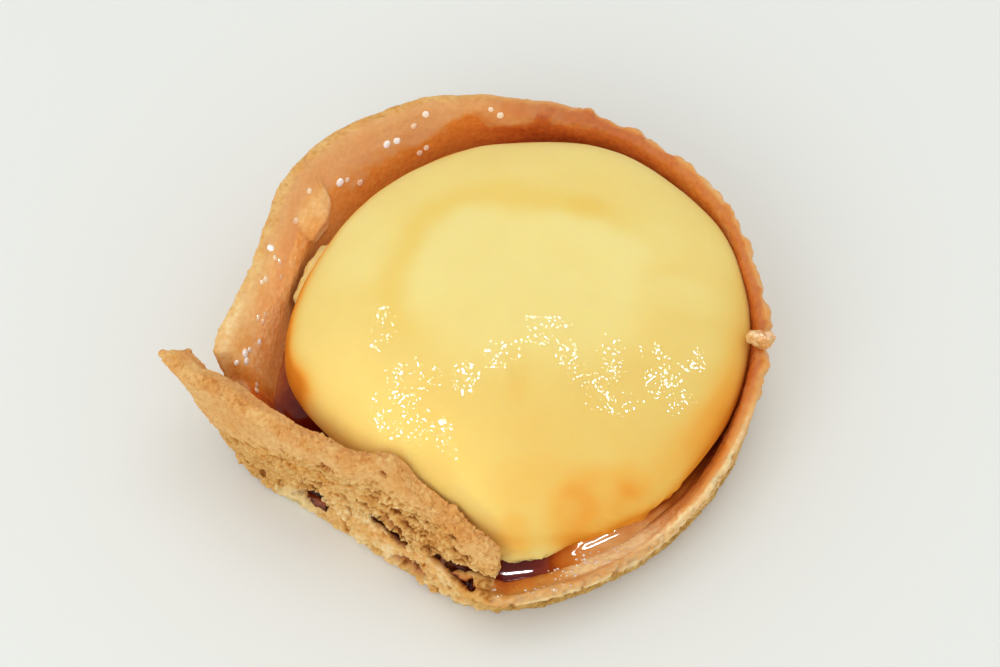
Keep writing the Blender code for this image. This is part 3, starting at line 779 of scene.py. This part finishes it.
# patches of wrinkled skin: centre x, y, half size x, y
WRINKLES = (
    (-20.5, -5.5, 3.6, 7.5), (-15.8, -14.4, 8.4, 6.6), (-14.4, -22.4, 9.4, 6.4), (-19.0, -18.0, 5.4, 7.0),
    (-10.2, -27.0, 3.0, 3.6), (-7.6, -14.6, 4.0, 4.6), (-3.0, -10.8, 4.6, 4.6), (4.6, -5.2, 7.0, 3.2),
    (7.6, -11.0, 4.4, 4.8), (3.4, -8.4, 5.4, 2.0), (12.0, -15.4, 6.6, 5.6), (14.4, -11.0, 4.6, 7.4),
    (20.0, -9.4, 4.0, 3.2), (22.8, -14.4, 6.6, 6.6), (27.4, -9.6, 2.6, 4.0), (16.0, -18.4, 7.0, 3.6))
# longer folds in the skin: x, y of their corners
FOLDS = (
    ((19.6, -8.2), (22.3, -9.6), (24.6, -10.8), (26.7, -11.8)),
    ((27.1, -11.0), (27.6, -9.4), (28.8, -7.4)),
    ((-9.6, -12.8), (-8.7, -11.9), (-7.5, -11.8), (-6.4, -12.8)),
    ((-9.3, -13.9), (-8.4, -13.1), (-7.3, -13.3)),
    ((-9.5, -15.4), (-9.0, -16.8), (-7.7, -17.3), (-6.7, -16.4), (-6.7, -15.2)),
    ((-0.3, -8.4), (0.4, -9.8), (0.3, -11.1), (-0.5, -12.3)),
    ((1.4, -4.2), (3.2, -4.5), (5.0, -4.4), (7.0, -4.2)),
    ((1.0, -8.8), (2.6, -8.3), (4.4, -8.1), (6.2, -8.4)),
    ((6.6, -9.0), (8.0, -10.2), (8.8, -11.8)),
    ((21.4, -12.6), (22.6, -13.6), (22.4, -14.8)),
    ((24.6, -12.6), (25.4, -13.8), (24.9, -15.4), (25.6, -16.6)))
FOLD_WIDTH = 0.26
# faint marks of caramel, and at (0, -13.5) a painted shade along the ridge between the wet patches: centre x,
# y, half size x, y, strength
STAINS_AND_PAINTED_SHADE = ((12.6, -30.5, 7.4, 4.6, 0.2), (8.0, -33.5, 5.4, 4.6, 0.2), (-0.5, -35.5, 3.4, 2.6, 0.14),
          (17.0, -28.5, 4.2, 3.0, 0.14), (10.7, 16.6, 5.0, 3.4, 0.16), (0.0, -13.5, 2.6, 7.5, 0.1),
          (-27.0, -19.0, 6.0, 8.0, 0.06), (3.0, -30.0, 9.0, 5.0, 0.06))
# paler patches, given in the same way
PALE = ((25.5, 1.3, 6.5, 5.0, 0.1), (21.0, 10.5, 6.5, 6.0, 0.08), (-24.0, 12.0, 9.0, 13.0, 0.1))


def oval(places, x, y, half_x, half_y):
    """1 in the middle of an oval seen from above, fading to 0 at its edge."""
    return ease(1.0, 0.35, np.hypot((places[:, 0] - x) / half_x, (places[:, 1] - y) / half_y))


def near_lines(places, lines, width):
    """1 on the nearest of some lines seen from above, falling to 0 at that distance."""
    nearest = np.full(len(places), 9.0)
    for line in lines:
        for start, end in zip(np.array(line), np.array(line)[1:]):
            way = end - start
            share = np.clip((places[:, :2] - start) @ way / way.dot(way), 0, 1)
            far = np.linalg.norm(places[:, :2] - start - share[:, None] * way, axis=1)
            nearest = np.minimum(nearest, far)
    return ease(width, 0.3 * width, nearest)


# %% Shape of the pudding
# how far it stands out of the solid towards the wall
LEANS = {0: 1.1, 25: 0.6, 50: 0.0, 100: 0.0, 115: -0.4, 160: -0.4, 180: 0.0, 285: 0.0, 310: 0.5, 335: 1.1}
FRILL = (256, 263, 276, 286)
FOOT_FOLDS = (282, 290, 312, 322)
TOWARD_BREAK = (222, 230, 256, 264)
HIDDEN_HEIGHTS = (5.5, 9.5)                     # level edges here are hidden down in the gutter
PRESSED_ANGLES, PRESSED_HEIGHTS = (224, 262), (14, 27)      # where the broken wall presses on it

dome = merged_copy("pudding")
bmesh.ops.join_triangles(dome, faces=dome.faces, angle_face_threshold=1.2, angle_shape_threshold=3.1)
hidden = [edge for edge in dome.edges if edge.is_manifold
          and HIDDEN_HEIGHTS[0] < edge.verts[0].co.z < HIDDEN_HEIGHTS[1]
          and abs(edge.verts[0].co.z - edge.verts[1].co.z) < 0.02]
print("pudding:", len(hidden), "hidden edges dissolved")
bmesh.ops.dissolve_edges(dome, edges=hidden, use_verts=True)
pressed = [vert for vert in dome.verts if vert.co.xy.length > 27
           and PRESSED_HEIGHTS[0] < vert.co.z < PRESSED_HEIGHTS[1]
           and PRESSED_ANGLES[0] < np.degrees(np.arctan2(vert.co.y, vert.co.x)) % 360 < PRESSED_ANGLES[1]]
for _ in range(3):
    bmesh.ops.smooth_vert(dome, verts=pressed, factor=0.5, use_axis_x=True, use_axis_y=True, use_axis_z=True)
dome_mesh = subdivided(dome, 3, "dome")
print("pudding:", len(dome_mesh.polygons), "faces")

places, normals = points_of(dome_mesh)
angle, reach = around(places)
height = places[:, 2]
on_top = normals[:, 2] > 0.3
wrinkled = np.max([oval(places, *patch) for patch in WRINKLES], axis=0) * on_top
wrinkled = wrinkled * (0.8 + 0.35 * swells(places, 2.4, 20))
frill = ease(17.0, 12.0, height) * between(angle, *FRILL)
foot_folds = ease(20.5, 17.0, height) * between(angle, *FOOT_FOLDS)
toward_break = between(angle, *TOWARD_BREAK) * ease(26, 30, reach) * (height > 12)
push(dome_mesh, places, normals,
     0.3 * swells(places, 14.0, 21) + 0.05 * swells(places, 4.5, 22) + 0.5 * toward_break
     + by_angle(LEANS, angle) * ease(24.0, 18.0, height)
     + wrinkled * (0.03 * swells(places, 1.2, 23) + 0.03 * grains(places, 1.6, 24))
     + frill * (1.7 + 0.45 * grains(places, 2.0, 25) + 0.3 * swells(places, 1.1, 26))
     + foot_folds * 0.6 * np.maximum(swells(places, 2.4, 27), 0))

# %% Colour of the pudding
# how much caramel its edge and its foot have drawn in; the low values from 204 to 255 degrees, beside the
# broken wall, are painted light that makes up for that wall's shade
DRAWN_IN_AND_PAINTED_LIGHT = {0: 1.6, 60: 1.0, 160: 1.1, 178: 1.6, 192: 1.5, 204: 0.55, 215: 0.3, 255: 0.3, 266: 0.7, 282: 1.0,
            300: 1.3, 335: 2.3}
# how far the stain climbs over the edge, at the right
RIGHT_SIDE = {280: 0.0, 300: 0.1, 318: 0.6, 330: 0.9, 350: 1.0, 8: 0.6, 30: 0.3, 50: 0.0}
FAR_SIDE = (50, 90, 196, 208)
RING_STRETCH = (20, 60, 180, 225)

x, y, half_x, half_y = PLATEAU
from_middle = np.hypot((places[:, 0] - x) / half_x, (places[:, 1] - y) / half_y)
from_middle = from_middle + 0.12 * swells(places, 12.0, 28) + 0.04 * swells(places, 4.0, 29)
edge = ease(23.0, 11.0, height + 2.5 * swells(places, 12.0, 30))
brim = ease(18.0, 10.5, height + 1.0 * swells(places, 7.0, 33)) * (1 - 0.8 * frill)
stain = (0.02 + 0.2 * ease(0.7, 1.2, from_middle) + 0.2 * ease(10, -30, places[:, 1])
         + (0.26 * edge + 0.34 * brim) * by_angle(DRAWN_IN_AND_PAINTED_LIGHT, angle)) * (1 - 0.7 * frill)
stain += 0.6 * between(angle, *FAR_SIDE) * ease(0.8, 0.45, normals[:, 2] + 0.06 * swells(places, 7.0, 33))
stain += 0.32 * by_angle(RIGHT_SIDE, angle) * ease(0.88, 0.6, normals[:, 2] + 0.05 * swells(places, 6.0, 34))
cloudy = 0.9 + 0.35 * swells(places, 4.0, 32)
# the marks of caramel, and the painted shade along that ridge
for *patch, strength in STAINS_AND_PAINTED_SHADE:
    stain += strength * oval(places, *patch) * cloudy
for *patch, strength in PALE:
    stain -= strength * oval(places, *patch)
ring = np.exp(-((from_middle - 0.98) / 0.16) ** 2) * between(angle, *RING_STRETCH)
keep(dome_mesh, stain=stain, ring=0.5 * ring, wrinkled=most(wrinkled, 0.75 * frill),
     folded=near_lines(places, FOLDS, FOLD_WIDTH) * on_top)
dome_piece = publish("custard_pudding", dome_mesh, CUSTARD_FINISH, "pudding", "pudding")

# %% [markdown]
# ## Caramel
#
# Sugar cooked to a deep brown and let down with water: a clear syrup. A film of it is orange, and
# a few millimetres are nearly black with a red glow. A true volume would be slow to render and
# would be lost on export, so the depth is an attribute that a colour ramp reads.

# %% Caramel finish
DRIFT = 3.0          # millimetres across the drifts of darker syrup
SYRUP = {0.0: "#ECBE7C", 0.2: "#DE9340", 0.4: "#C46A24", 0.6: "#983C16", 0.8: "#701B0C", 1.0: "#560F08"}


def caramel():
    finish, tree = new_finish("caramel syrup")
    place = add(tree, "TexCoord", out="Object")
    drift = add(tree, "TexNoise", {"Vector": place, "Scale": 1 / (DRIFT * MM), "Detail": 2.0})
    drift = add(tree, "MapRange", {"Value": drift, "From Min": 0.3, "From Max": 0.7,
                                   "To Min": -0.08, "To Max": 0.08})
    depth = add(tree, "Attribute", attribute_name="depth", out=FAC)
    depth = add(tree, "Math", {0: depth, 1: drift}, operation="ADD")
    colour = add(tree, "ValToRGB", {"Fac": depth}, stops=SYRUP)
    surface = add(tree, "BsdfPrincipled", {
        "Base Color": colour, "Roughness": 0.05, "IOR": 1.47, "Specular IOR Level": 0.25,
        "Subsurface Weight": 0.1, "Subsurface Radius": (1.0, 0.3, 0.1), "Subsurface Scale": 1.0 * MM})
    add(tree, "OutputMaterial", {"Surface": surface})
    return finish


CARAMEL_FINISH = caramel()
print("caramel:", len(CARAMEL_FINISH.node_tree.nodes), "nodes")

# %% [markdown]
# ### The gutter
#
# The solid ring keeps a hair's breadth to the crust and to the pudding. Syrup wets both, so the
# ring is widened into them, and its surface climbs in a small hollow curve, a meniscus, at each
# edge. The edges that cross its top are cut many times to make room for that curve. At the front
# it creeps up the pudding's foot, and runs out over the low slope as a thin film.

# %% Ring of syrup
COLUMNS = 144             # of the solid ring
CUTS = 13                 # across its top
INTO_WALL = 0.9           # how far the ring reaches into its neighbours
# the height that the syrup climbs at its edges, and the width over which it does
MENISCUS = {0: 0.7, 168: 0.7, 176: 0.1, 206: 0.1, 216: 0.7, 250: 0.7, 257: 0.0, 300: 0.0, 308: 0.7}
CLIMB = 1.1
# the same for the gentle slope towards the pudding
CREEP = {0: 0.5, 255: 0.5, 262: 3.2, 275: 3.2, 279: 1.0, 283: 1.0, 286.5: 1.5, 300: 1.5, 310: 0.5}
CREEP_WIDTH = {0: 3.4, 255: 3.4, 262: 8.0, 276: 8.0, 284: 6.0, 300: 6.0, 310: 3.4}
# 1 where it runs out as a film on the low slope of the front, and over what width
RUNS_OUT = {0: 0.0, 276: 0.0, 282: 1.0, 308: 1.0, 314: 0.0}
FILM_WIDTH = 3.0
# how deep the syrup looks beside the pudding and beside the wall
BY_PUDDING = {0: 0.82, 60: 0.75, 95: 0.6, 120: 0.78, 165: 0.74, 190: 0.8, 205: 0.95, 264: 1.0, 276: 0.95,
              280: 0.8, 284: 0.36, 288: 0.18, 308: 0.25, 320: 0.5, 335: 0.7}
BY_WALL = {0: 0.8, 60: 0.7, 95: 0.5, 120: 0.58, 150: 0.38, 185: 0.36, 200: 0.8, 262: 0.92, 270: 0.9, 276: 0.8,
           280: 0.4, 284: 0.15, 288: 0.07, 308: 0.15, 320: 0.4, 335: 0.65}
DOWN = Vector((0, 0, -1))


def column(vert):
    return round(np.degrees(np.arctan2(vert.co.y, vert.co.x)) % 360 / (360 / COLUMNS)) % COLUMNS


def search_tree(mesh):
    """A search tree of a published mesh, in millimetres, that rays can be cast at."""
    return BVHTree.FromPolygons([vert.co / MM for vert in mesh.vertices],
                                [face.vertices for face in mesh.polygons])


shell_tree = search_tree(shell_mesh)
ring = merged_copy("caramel")
bmesh.ops.join_triangles(ring, faces=ring.faces, angle_face_threshold=1.2, angle_shape_threshold=3.1)
level = max(vert.co.z for vert in ring.verts)
inner, outer = np.full(COLUMNS, 99.0), np.zeros(COLUMNS)
for vert in ring.verts:
    inner[column(vert)] = min(inner[column(vert)], vert.co.xy.length)
    outer[column(vert)] = max(outer[column(vert)], vert.co.xy.length)
for vert in ring.verts:
    side = 1 if vert.co.xy.length > (inner + outer)[column(vert)] / 2 else -1
    vert.co.xy += vert.co.xy.normalized() * side * INTO_WALL
across = [edge for edge in ring.edges if column(edge.verts[0]) == column(edge.verts[1])
          and all(vert.co.z > level - 0.01 for vert in edge.verts)]
bmesh.ops.subdivide_edges(ring, edges=across, cuts=CUTS, use_grid_fill=True)
ring_mesh = subdivided(ring, 1, "ring", "SIMPLE")
print("ring of syrup:", len(ring_mesh.polygons), "faces")

# %% Surface of the syrup
places, _ = points_of(ring_mesh)
angle, reach = around(places)
at_columns = np.arange(COLUMNS) * 360 / COLUMNS
to_outer = np.interp(angle, at_columns, outer, period=360) - reach
to_inner = reach - np.interp(angle, at_columns, inner, period=360)
meets = [shell_tree.ray_cast(turned(at, radius + INTO_WALL, 30.0), DOWN)[0].z
         for at, radius in zip(at_columns, outer)]
meets = np.mean([np.roll(meets, shift) for shift in range(-4, 5)], axis=0)
rise = np.clip(np.interp(angle, at_columns, meets, period=360) - 0.03 - level, 0, 1.6)
runs_out = by_angle(RUNS_OUT, angle)
slope = np.clip(1 - to_inner / by_angle(CREEP_WIDTH, angle), 0, 1.1) ** 2
climb = (by_angle(MENISCUS, angle) * (ease(CLIMB, -0.3, to_outer) + ease(CLIMB, -0.3, to_inner))
         + runs_out * rise * ease(FILM_WIDTH, -INTO_WALL, to_outer)
         + (1 - runs_out * ease(1.5, -INTO_WALL, to_outer)) * by_angle(CREEP, angle) * slope)
ripple = (0.04 - 0.03 * (angle > 262) * (angle < 305)) * swells(places, 5.0, 40)
upright = np.tile((0.0, 0.0, 1.0), (len(places), 1))
push(ring_mesh, places, upright, (places[:, 2] > level - 0.05) * (climb + ripple))
share = np.clip(to_inner / np.maximum(to_inner + to_outer, 0.1), 0, 1)
deep = by_angle(BY_PUDDING, angle) * (1 - share) + by_angle(BY_WALL, angle) * share
keep(ring_mesh, depth=deep + 0.05 * swells(places, 2.5, 41))
ring_piece = publish("caramel_gutter", ring_mesh, CARAMEL_FINISH, "caramel", "caramel")

# %% [markdown]
# ### Beads of syrup
#
# Syrup that splashed the inside of the wall stands there in small fat beads. They are painted pale, some
# nearly white, as a painted highlight for the glints they catch. The finer drops on the low slope of the
# front are painted glints in the same way. A ray sent out from the tart's axis finds the wall, so each bead
# sits on what carries it, and rays sent down find the low slope of the front, which is strewn with finer
# drops. A bead is a ball pressed flat.

# %% Syrup with painted glints
PAINTED_GLINT_TINTS = {0.0: "#E9B48C", 0.5: "#FBE0C4", 1.0: "#FFFFFF"}


def syrup_with_painted_glints():
    finish, tree = new_finish("sugar syrup with painted glints")
    bright = add(tree, "Attribute", attribute_name="bright", out=FAC)
    # pale to white: a painted highlight for the glints the beads catch
    colour = add(tree, "ValToRGB", {"Fac": bright}, stops=PAINTED_GLINT_TINTS)
    surface = add(tree, "BsdfPrincipled", {
        "Base Color": colour, "Roughness": 0.12, "IOR": 1.45, "Coat Weight": 0.5, "Coat Roughness": 0.05,
        "Subsurface Weight": 0.4, "Subsurface Radius": (1.0, 0.8, 0.6), "Subsurface Scale": 0.5 * MM})
    add(tree, "OutputMaterial", {"Surface": surface})
    return finish


# %% Beads on the wall and drops on the slope
# angle, height, radius and brightness of each bead; the brightness is a painted highlight
BEADS = (
    (162.9, 23.0, 0.6, 1.0), (164.3, 22.0, 0.5, 0.6), (163.2, 20.0, 0.6, 0.4), (165.5, 18.0, 0.45, 0.3),
    (152.0, 20.6, 0.55, 0.35), (144.3, 21.6, 0.5, 0.4), (135.5, 18.0, 0.75, 1.0), (133.4, 17.4, 0.5, 0.5),
    (130.4, 15.4, 0.6, 0.3), (121.5, 20.0, 0.7, 1.0), (119.0, 19.8, 0.65, 1.0), (114.2, 21.3, 0.55, 0.35),
    (111.0, 22.7, 0.6, 0.7), (114.0, 16.0, 0.55, 0.3), (112.2, 16.6, 0.5, 0.4), (185.9, 17.8, 0.75, 1.0),
    (187.1, 16.9, 0.65, 1.0), (188.4, 18.4, 0.5, 0.8), (184.4, 17.0, 0.5, 0.8), (181.5, 15.8, 0.5, 1.0),
    (178.2, 19.2, 0.55, 0.3), (177.6, 17.6, 0.5, 0.35), (176.0, 18.0, 0.45, 0.3), (170.6, 22.2, 0.6, 0.45),
    (171.8, 22.6, 0.45, 0.4), (191.0, 12.6, 0.5, 0.3), (189.6, 12.6, 0.45, 0.25), (93.8, 22.4, 0.6, 0.5),
    (96.0, 23.2, 0.45, 0.4))
# clusters of fine drops: x, y, how far they spread in x and y, and number
CLUSTERS = ((11.6, -34.7, 2.6, 1.3, 18), (6.9, -37.5, 2.2, 1.2, 15), (3.6, -40.5, 2.4, 0.6, 9),
            (-2.6, -40.8, 1.2, 0.8, 4), (16.2, -33.4, 1.6, 0.9, 6), (8.8, -39.6, 2.4, 0.5, 4))
# the drops take this level of the same painted highlight, as painted glints
DROP_SIZES, DROP_PAINTED_GLINT = (0.1, 0.22), 0.75
BEAD_FLATNESS = 0.45
BEAD_SIDES = 3       # subdivisions of each ball

carriers = (shell_tree, search_tree(ring_mesh))
resting = []
for at, height, radius, bright in BEADS:
    found = shell_tree.ray_cast(turned(at, 30.0, height), turned(at, 1.0, 0.0))
    resting.append((found, radius, bright))
for x, y, spread_x, spread_y, count in CLUSTERS:
    for _ in range(count):
        above = Vector((x + spread_x * dice.uniform(-1, 1), y + spread_y * dice.uniform(-1, 1), 30.0))
        hits = [hit for hit in (tree.ray_cast(above, DOWN) for tree in carriers) if hit[0]]
        if hits:
            resting.append((max(hits, key=lambda hit: hit[0].z), dice.uniform(*DROP_SIZES), DROP_PAINTED_GLINT))
beads = bmesh.new()
painted_glint_levels = []
for (spot, normal, _, _), radius, bright in resting:
    turn = normal.to_track_quat("Z", "Y").to_matrix().to_4x4()
    lying = Matrix.Translation(spot) @ turn @ Matrix.Diagonal((radius, radius, radius * BEAD_FLATNESS, 1))
    made = bmesh.ops.create_icosphere(beads, subdivisions=BEAD_SIDES, radius=1.0, matrix=lying)
    painted_glint_levels += [bright] * len(made["verts"])
bead_mesh = to_mesh(beads, "beads")
keep(bead_mesh, bright=np.array(painted_glint_levels))
bead_piece = publish("syrup_beads", bead_mesh, syrup_with_painted_glints(), "caramel")

# %% [markdown]
# ## Small pieces
#
# A sliver of custard has come away at the left, and a crumb sits on the right of the rim. Both
# are the part's own solids, rounded, roughened and moved by a millimetre to rest where they
# should. The crumb is wet with syrup, so it is glazed.

# %% Sliver and rim crumb
SLIVER_SHIFT, CRUMB_SHIFT = (1.1, 0.0, 0.0), (0.0, -1.2, -0.8)

sliver_mesh = subdivided(merged_copy("custard_sliver"), 3, "sliver")
places, normals = points_of(sliver_mesh)
places += SLIVER_SHIFT
push(sliver_mesh, places, normals, 0.35 + 1.1 * ease(0.0, 0.8, -outwards(places, normals))
     + 0.3 * swells(places, 1.6, 42) + 0.12 * crumbled(places, 0.9, 43))
keep(sliver_mesh, stain=0.4 * ease(13.5, 11.0, places[:, 2]), wrinkled=np.full(len(places), 0.5))
sliver_piece = publish("custard_shaving", sliver_mesh, CUSTARD_FINISH, "pudding", "custard_sliver")

crumb_mesh = subdivided(merged_copy("rim_crumb"), 4, "crumb")
places, normals = points_of(crumb_mesh)
places += CRUMB_SHIFT
crumb = crumbled(places, 1.6, 44)
push(crumb_mesh, places, normals, 0.25 + 0.35 * crumb + 0.4 * swells(places, 1.8, 45))
# relief sets the colour: a painted shade in the creases, paler on the crowns
keep(crumb_mesh, glaze=0.55 + 0.5 * swells(places, 1.2, 46), depth=0.16 + 0.25 * swells(places, 1.6, 47),
     relief=0.32 + 0.6 * crumb, ochre=np.full(len(places), 0.4))
crumb_piece = publish("wet_crumb", crumb_mesh, CRUST_FINISH, "crust", "rim_crumb")

# %% [markdown]
# ## Floor, light and camera
#
# The tart stands on a plain pale floor. A bright room wraps it in soft light, and a large soft
# lamp overhead gives it form, with a weaker one from the front. None of them leaves a mark in the
# gloss, since wet things show the bright lamps and windows of a room instead. Those are small lamps
# for the beads and the syrup and large windows for the wet dots of the custard. They light
# reflections only, and each stands where the part of the surface that should gleam mirrors it.
# Bright custard also throws light back on the wall round it, which a few weak lamps stand for.

# %% Floor
FLOOR_HALF = 3.0          # half of its side, in metres

floor_shape = bmesh.new()
bmesh.ops.create_grid(floor_shape, x_segments=1, y_segments=1, size=FLOOR_HALF)
bmesh.ops.translate(floor_shape, vec=(0, 0, -0.05 * MM), verts=floor_shape.verts)
floor = bpy.data.objects.new("floor", to_mesh(floor_shape, "floor"))
bpy.context.collection.objects.link(floor)
floor_finish, floor_tree = new_finish("pale matt laminate")
floor_surface = add(floor_tree, "BsdfPrincipled", {"Base Color": srgb("#EAEDEB"), "Roughness": 0.8})
add(floor_tree, "OutputMaterial", {"Surface": floor_surface})
floor.data.materials.append(floor_finish)


# %% Kinds of lamp
def direction(azimuth, elevation):
    return turned(azimuth, np.cos(np.radians(elevation)), np.sin(np.radians(elevation)))


def set_up(lamp, turn, lit=None, mirrored=False, shades=None):
    """Sets a lamp up to light some pieces only, by its reflection alone or without one."""
    holder = bpy.data.objects.new(lamp.name, lamp)
    holder.matrix_world = turn
    holder.visible_glossy, holder.visible_diffuse = mirrored, not mirrored
    holder.light_linking.receiver_collection = lit
    holder.light_linking.blocker_collection = shades
    bpy.context.collection.objects.link(holder)


def add_lamp(name, place, power, size, length=None, along=None, **limits):
    """A flat lamp that faces the tart: a disc, or a strip of some length along a direction."""
    lamp = bpy.data.lights.new(name, "AREA")
    lamp.shape, lamp.energy = "RECTANGLE" if length else "DISK", power
    lamp.size, lamp.size_y = length or size, size
    back = place.normalized()
    along = along or Vector((0, 0, 1)).cross(back)
    side = (along - back * back.dot(along)).normalized()
    turn = Matrix((side, back.cross(side), back)).transposed().to_4x4()
    set_up(lamp, Matrix.Translation(place) @ turn, **limits)


def pieces_group(name, *pieces):
    group = bpy.data.collections.new(name)
    for piece in pieces:
        group.objects.link(piece)
    return group


# %% Lamps and room light
# the soft lamps: name, azimuth from +X, elevation, distance in metres, power and size
SOFT_LAMPS = (("overhead softbox", 60, 75, 1.2, 1.85, 0.9),
              ("soft fill from the broken side", 238, 36, 1.0, 2.4, 0.7))
LAMP_DISTANCE = 0.8          # of the lamps below, in metres
# azimuth and elevation of the lamps that the beads and the wet crumb mirror
GLEAMS = ((148, 64), (119, 71), (92, 63), (76, 62), (56, 67), (38, 56), (211, 50), (9, 38))
GLEAM_SIZE, GLEAM_POWER = 0.07, 3.6
# the same for the lamps that only the syrup in the gutter mirrors, with their width and height
POOL_GLEAMS = ((280, 79, 0.14, 0.03), (314, 57, 0.12, 0.022))
POOL_GLOW = 900.0            # watts per square metre
# the same for large round windows that only the wet dots of the custard mirror, with their width
WINDOWS = ((90, 66, 1.5), (205, 45, 0.8), (12, 36, 0.6))
WINDOW_GLOW = 50.0 * np.pi   # watts per square metre
# light that comes through the thin broken wall to the custard beside it, from a strip
GLOW_PLACE, GLOW_ALONG = (-25, -29, 33), (0.8, -0.6, 0)
GLOW_POWER, GLOW_WIDTH, GLOW_LENGTH = 0.0008, 8.0, 34.0
# light that the bright custard throws back on the wall round it: angle, power
THROWN_BACK = {105: 0.0005, 130: 0.0008, 155: 0.0016, 180: 0.0020}
BOUNCE_RADIUS, BOUNCE_HEIGHT, BOUNCE_SIZE = 26.0, 21.0, 5.0
ROOM_GLOW = 0.78

custards = pieces_group("custard pieces", dome_piece, sliver_piece)
glazed = pieces_group("glazed pieces", bead_piece, crumb_piece)
gutter = pieces_group("syrup in the gutter", ring_piece)
walls = pieces_group("pieces by the wall", shell_piece, ring_piece, bead_piece, sliver_piece)
for name, azimuth, elevation, distance, power, size in SOFT_LAMPS:
    add_lamp(name, direction(azimuth, elevation) * distance, power, size)
add_lamp("glow by the broken wall", Vector(GLOW_PLACE) * MM, GLOW_POWER, GLOW_WIDTH * MM, GLOW_LENGTH * MM,
         Vector(GLOW_ALONG), lit=custards)
for at, power in THROWN_BACK.items():
    bounce = bpy.data.lights.new(f"light thrown back at {at}", "POINT")
    bounce.energy, bounce.shadow_soft_size = power, BOUNCE_SIZE * MM
    place = turned(at, BOUNCE_RADIUS, BOUNCE_HEIGHT) * MM
    set_up(bounce, Matrix.Translation(place), lit=walls, shades=walls)
for azimuth, elevation in GLEAMS:
    add_lamp("gleam", direction(azimuth, elevation) * LAMP_DISTANCE, GLEAM_POWER, GLEAM_SIZE,
             lit=glazed, mirrored=True)
for azimuth, elevation, width in WINDOWS:
    add_lamp("window", direction(azimuth, elevation) * LAMP_DISTANCE, WINDOW_GLOW * np.pi * (width / 2) ** 2,
             width, lit=custards, mirrored=True)
for azimuth, elevation, width, height in POOL_GLEAMS:
    add_lamp("pool gleam", direction(azimuth, elevation) * LAMP_DISTANCE, POOL_GLOW * width * height, height,
             width, Vector((1, 0, 0)), lit=gutter, mirrored=True, shades=gutter)
room = bpy.data.worlds.new("bright room")
room.use_nodes = True
background = room.node_tree.nodes["Background"]
background.inputs["Color"].default_value = srgb("#FFFEFA")
background.inputs["Strength"].default_value = ROOM_GLOW
bpy.context.scene.world = room
bpy.context.scene.view_settings.view_transform = "Standard"
print("lamps:", len(bpy.data.lights))

# %% Camera
CAMERA_PLACE = (-0.002593, -0.198647, 0.334572)      # metres
CAMERA_TILT = 32.0                                   # degrees from straight down

camera = bpy.data.cameras.new("camera")
camera.lens, camera.sensor_width, camera.clip_start = 86.4, 36.0, 0.01
camera_holder = bpy.data.objects.new("camera", camera)
camera_holder.location = CAMERA_PLACE
camera_holder.rotation_euler = (np.radians(CAMERA_TILT), 0.0, 0.0)
bpy.context.collection.objects.link(camera_holder)
bpy.context.scene.camera = camera_holder
print("camera:", camera.lens, "mm lens,", round(camera_holder.location.length, 3), "m from the tart")
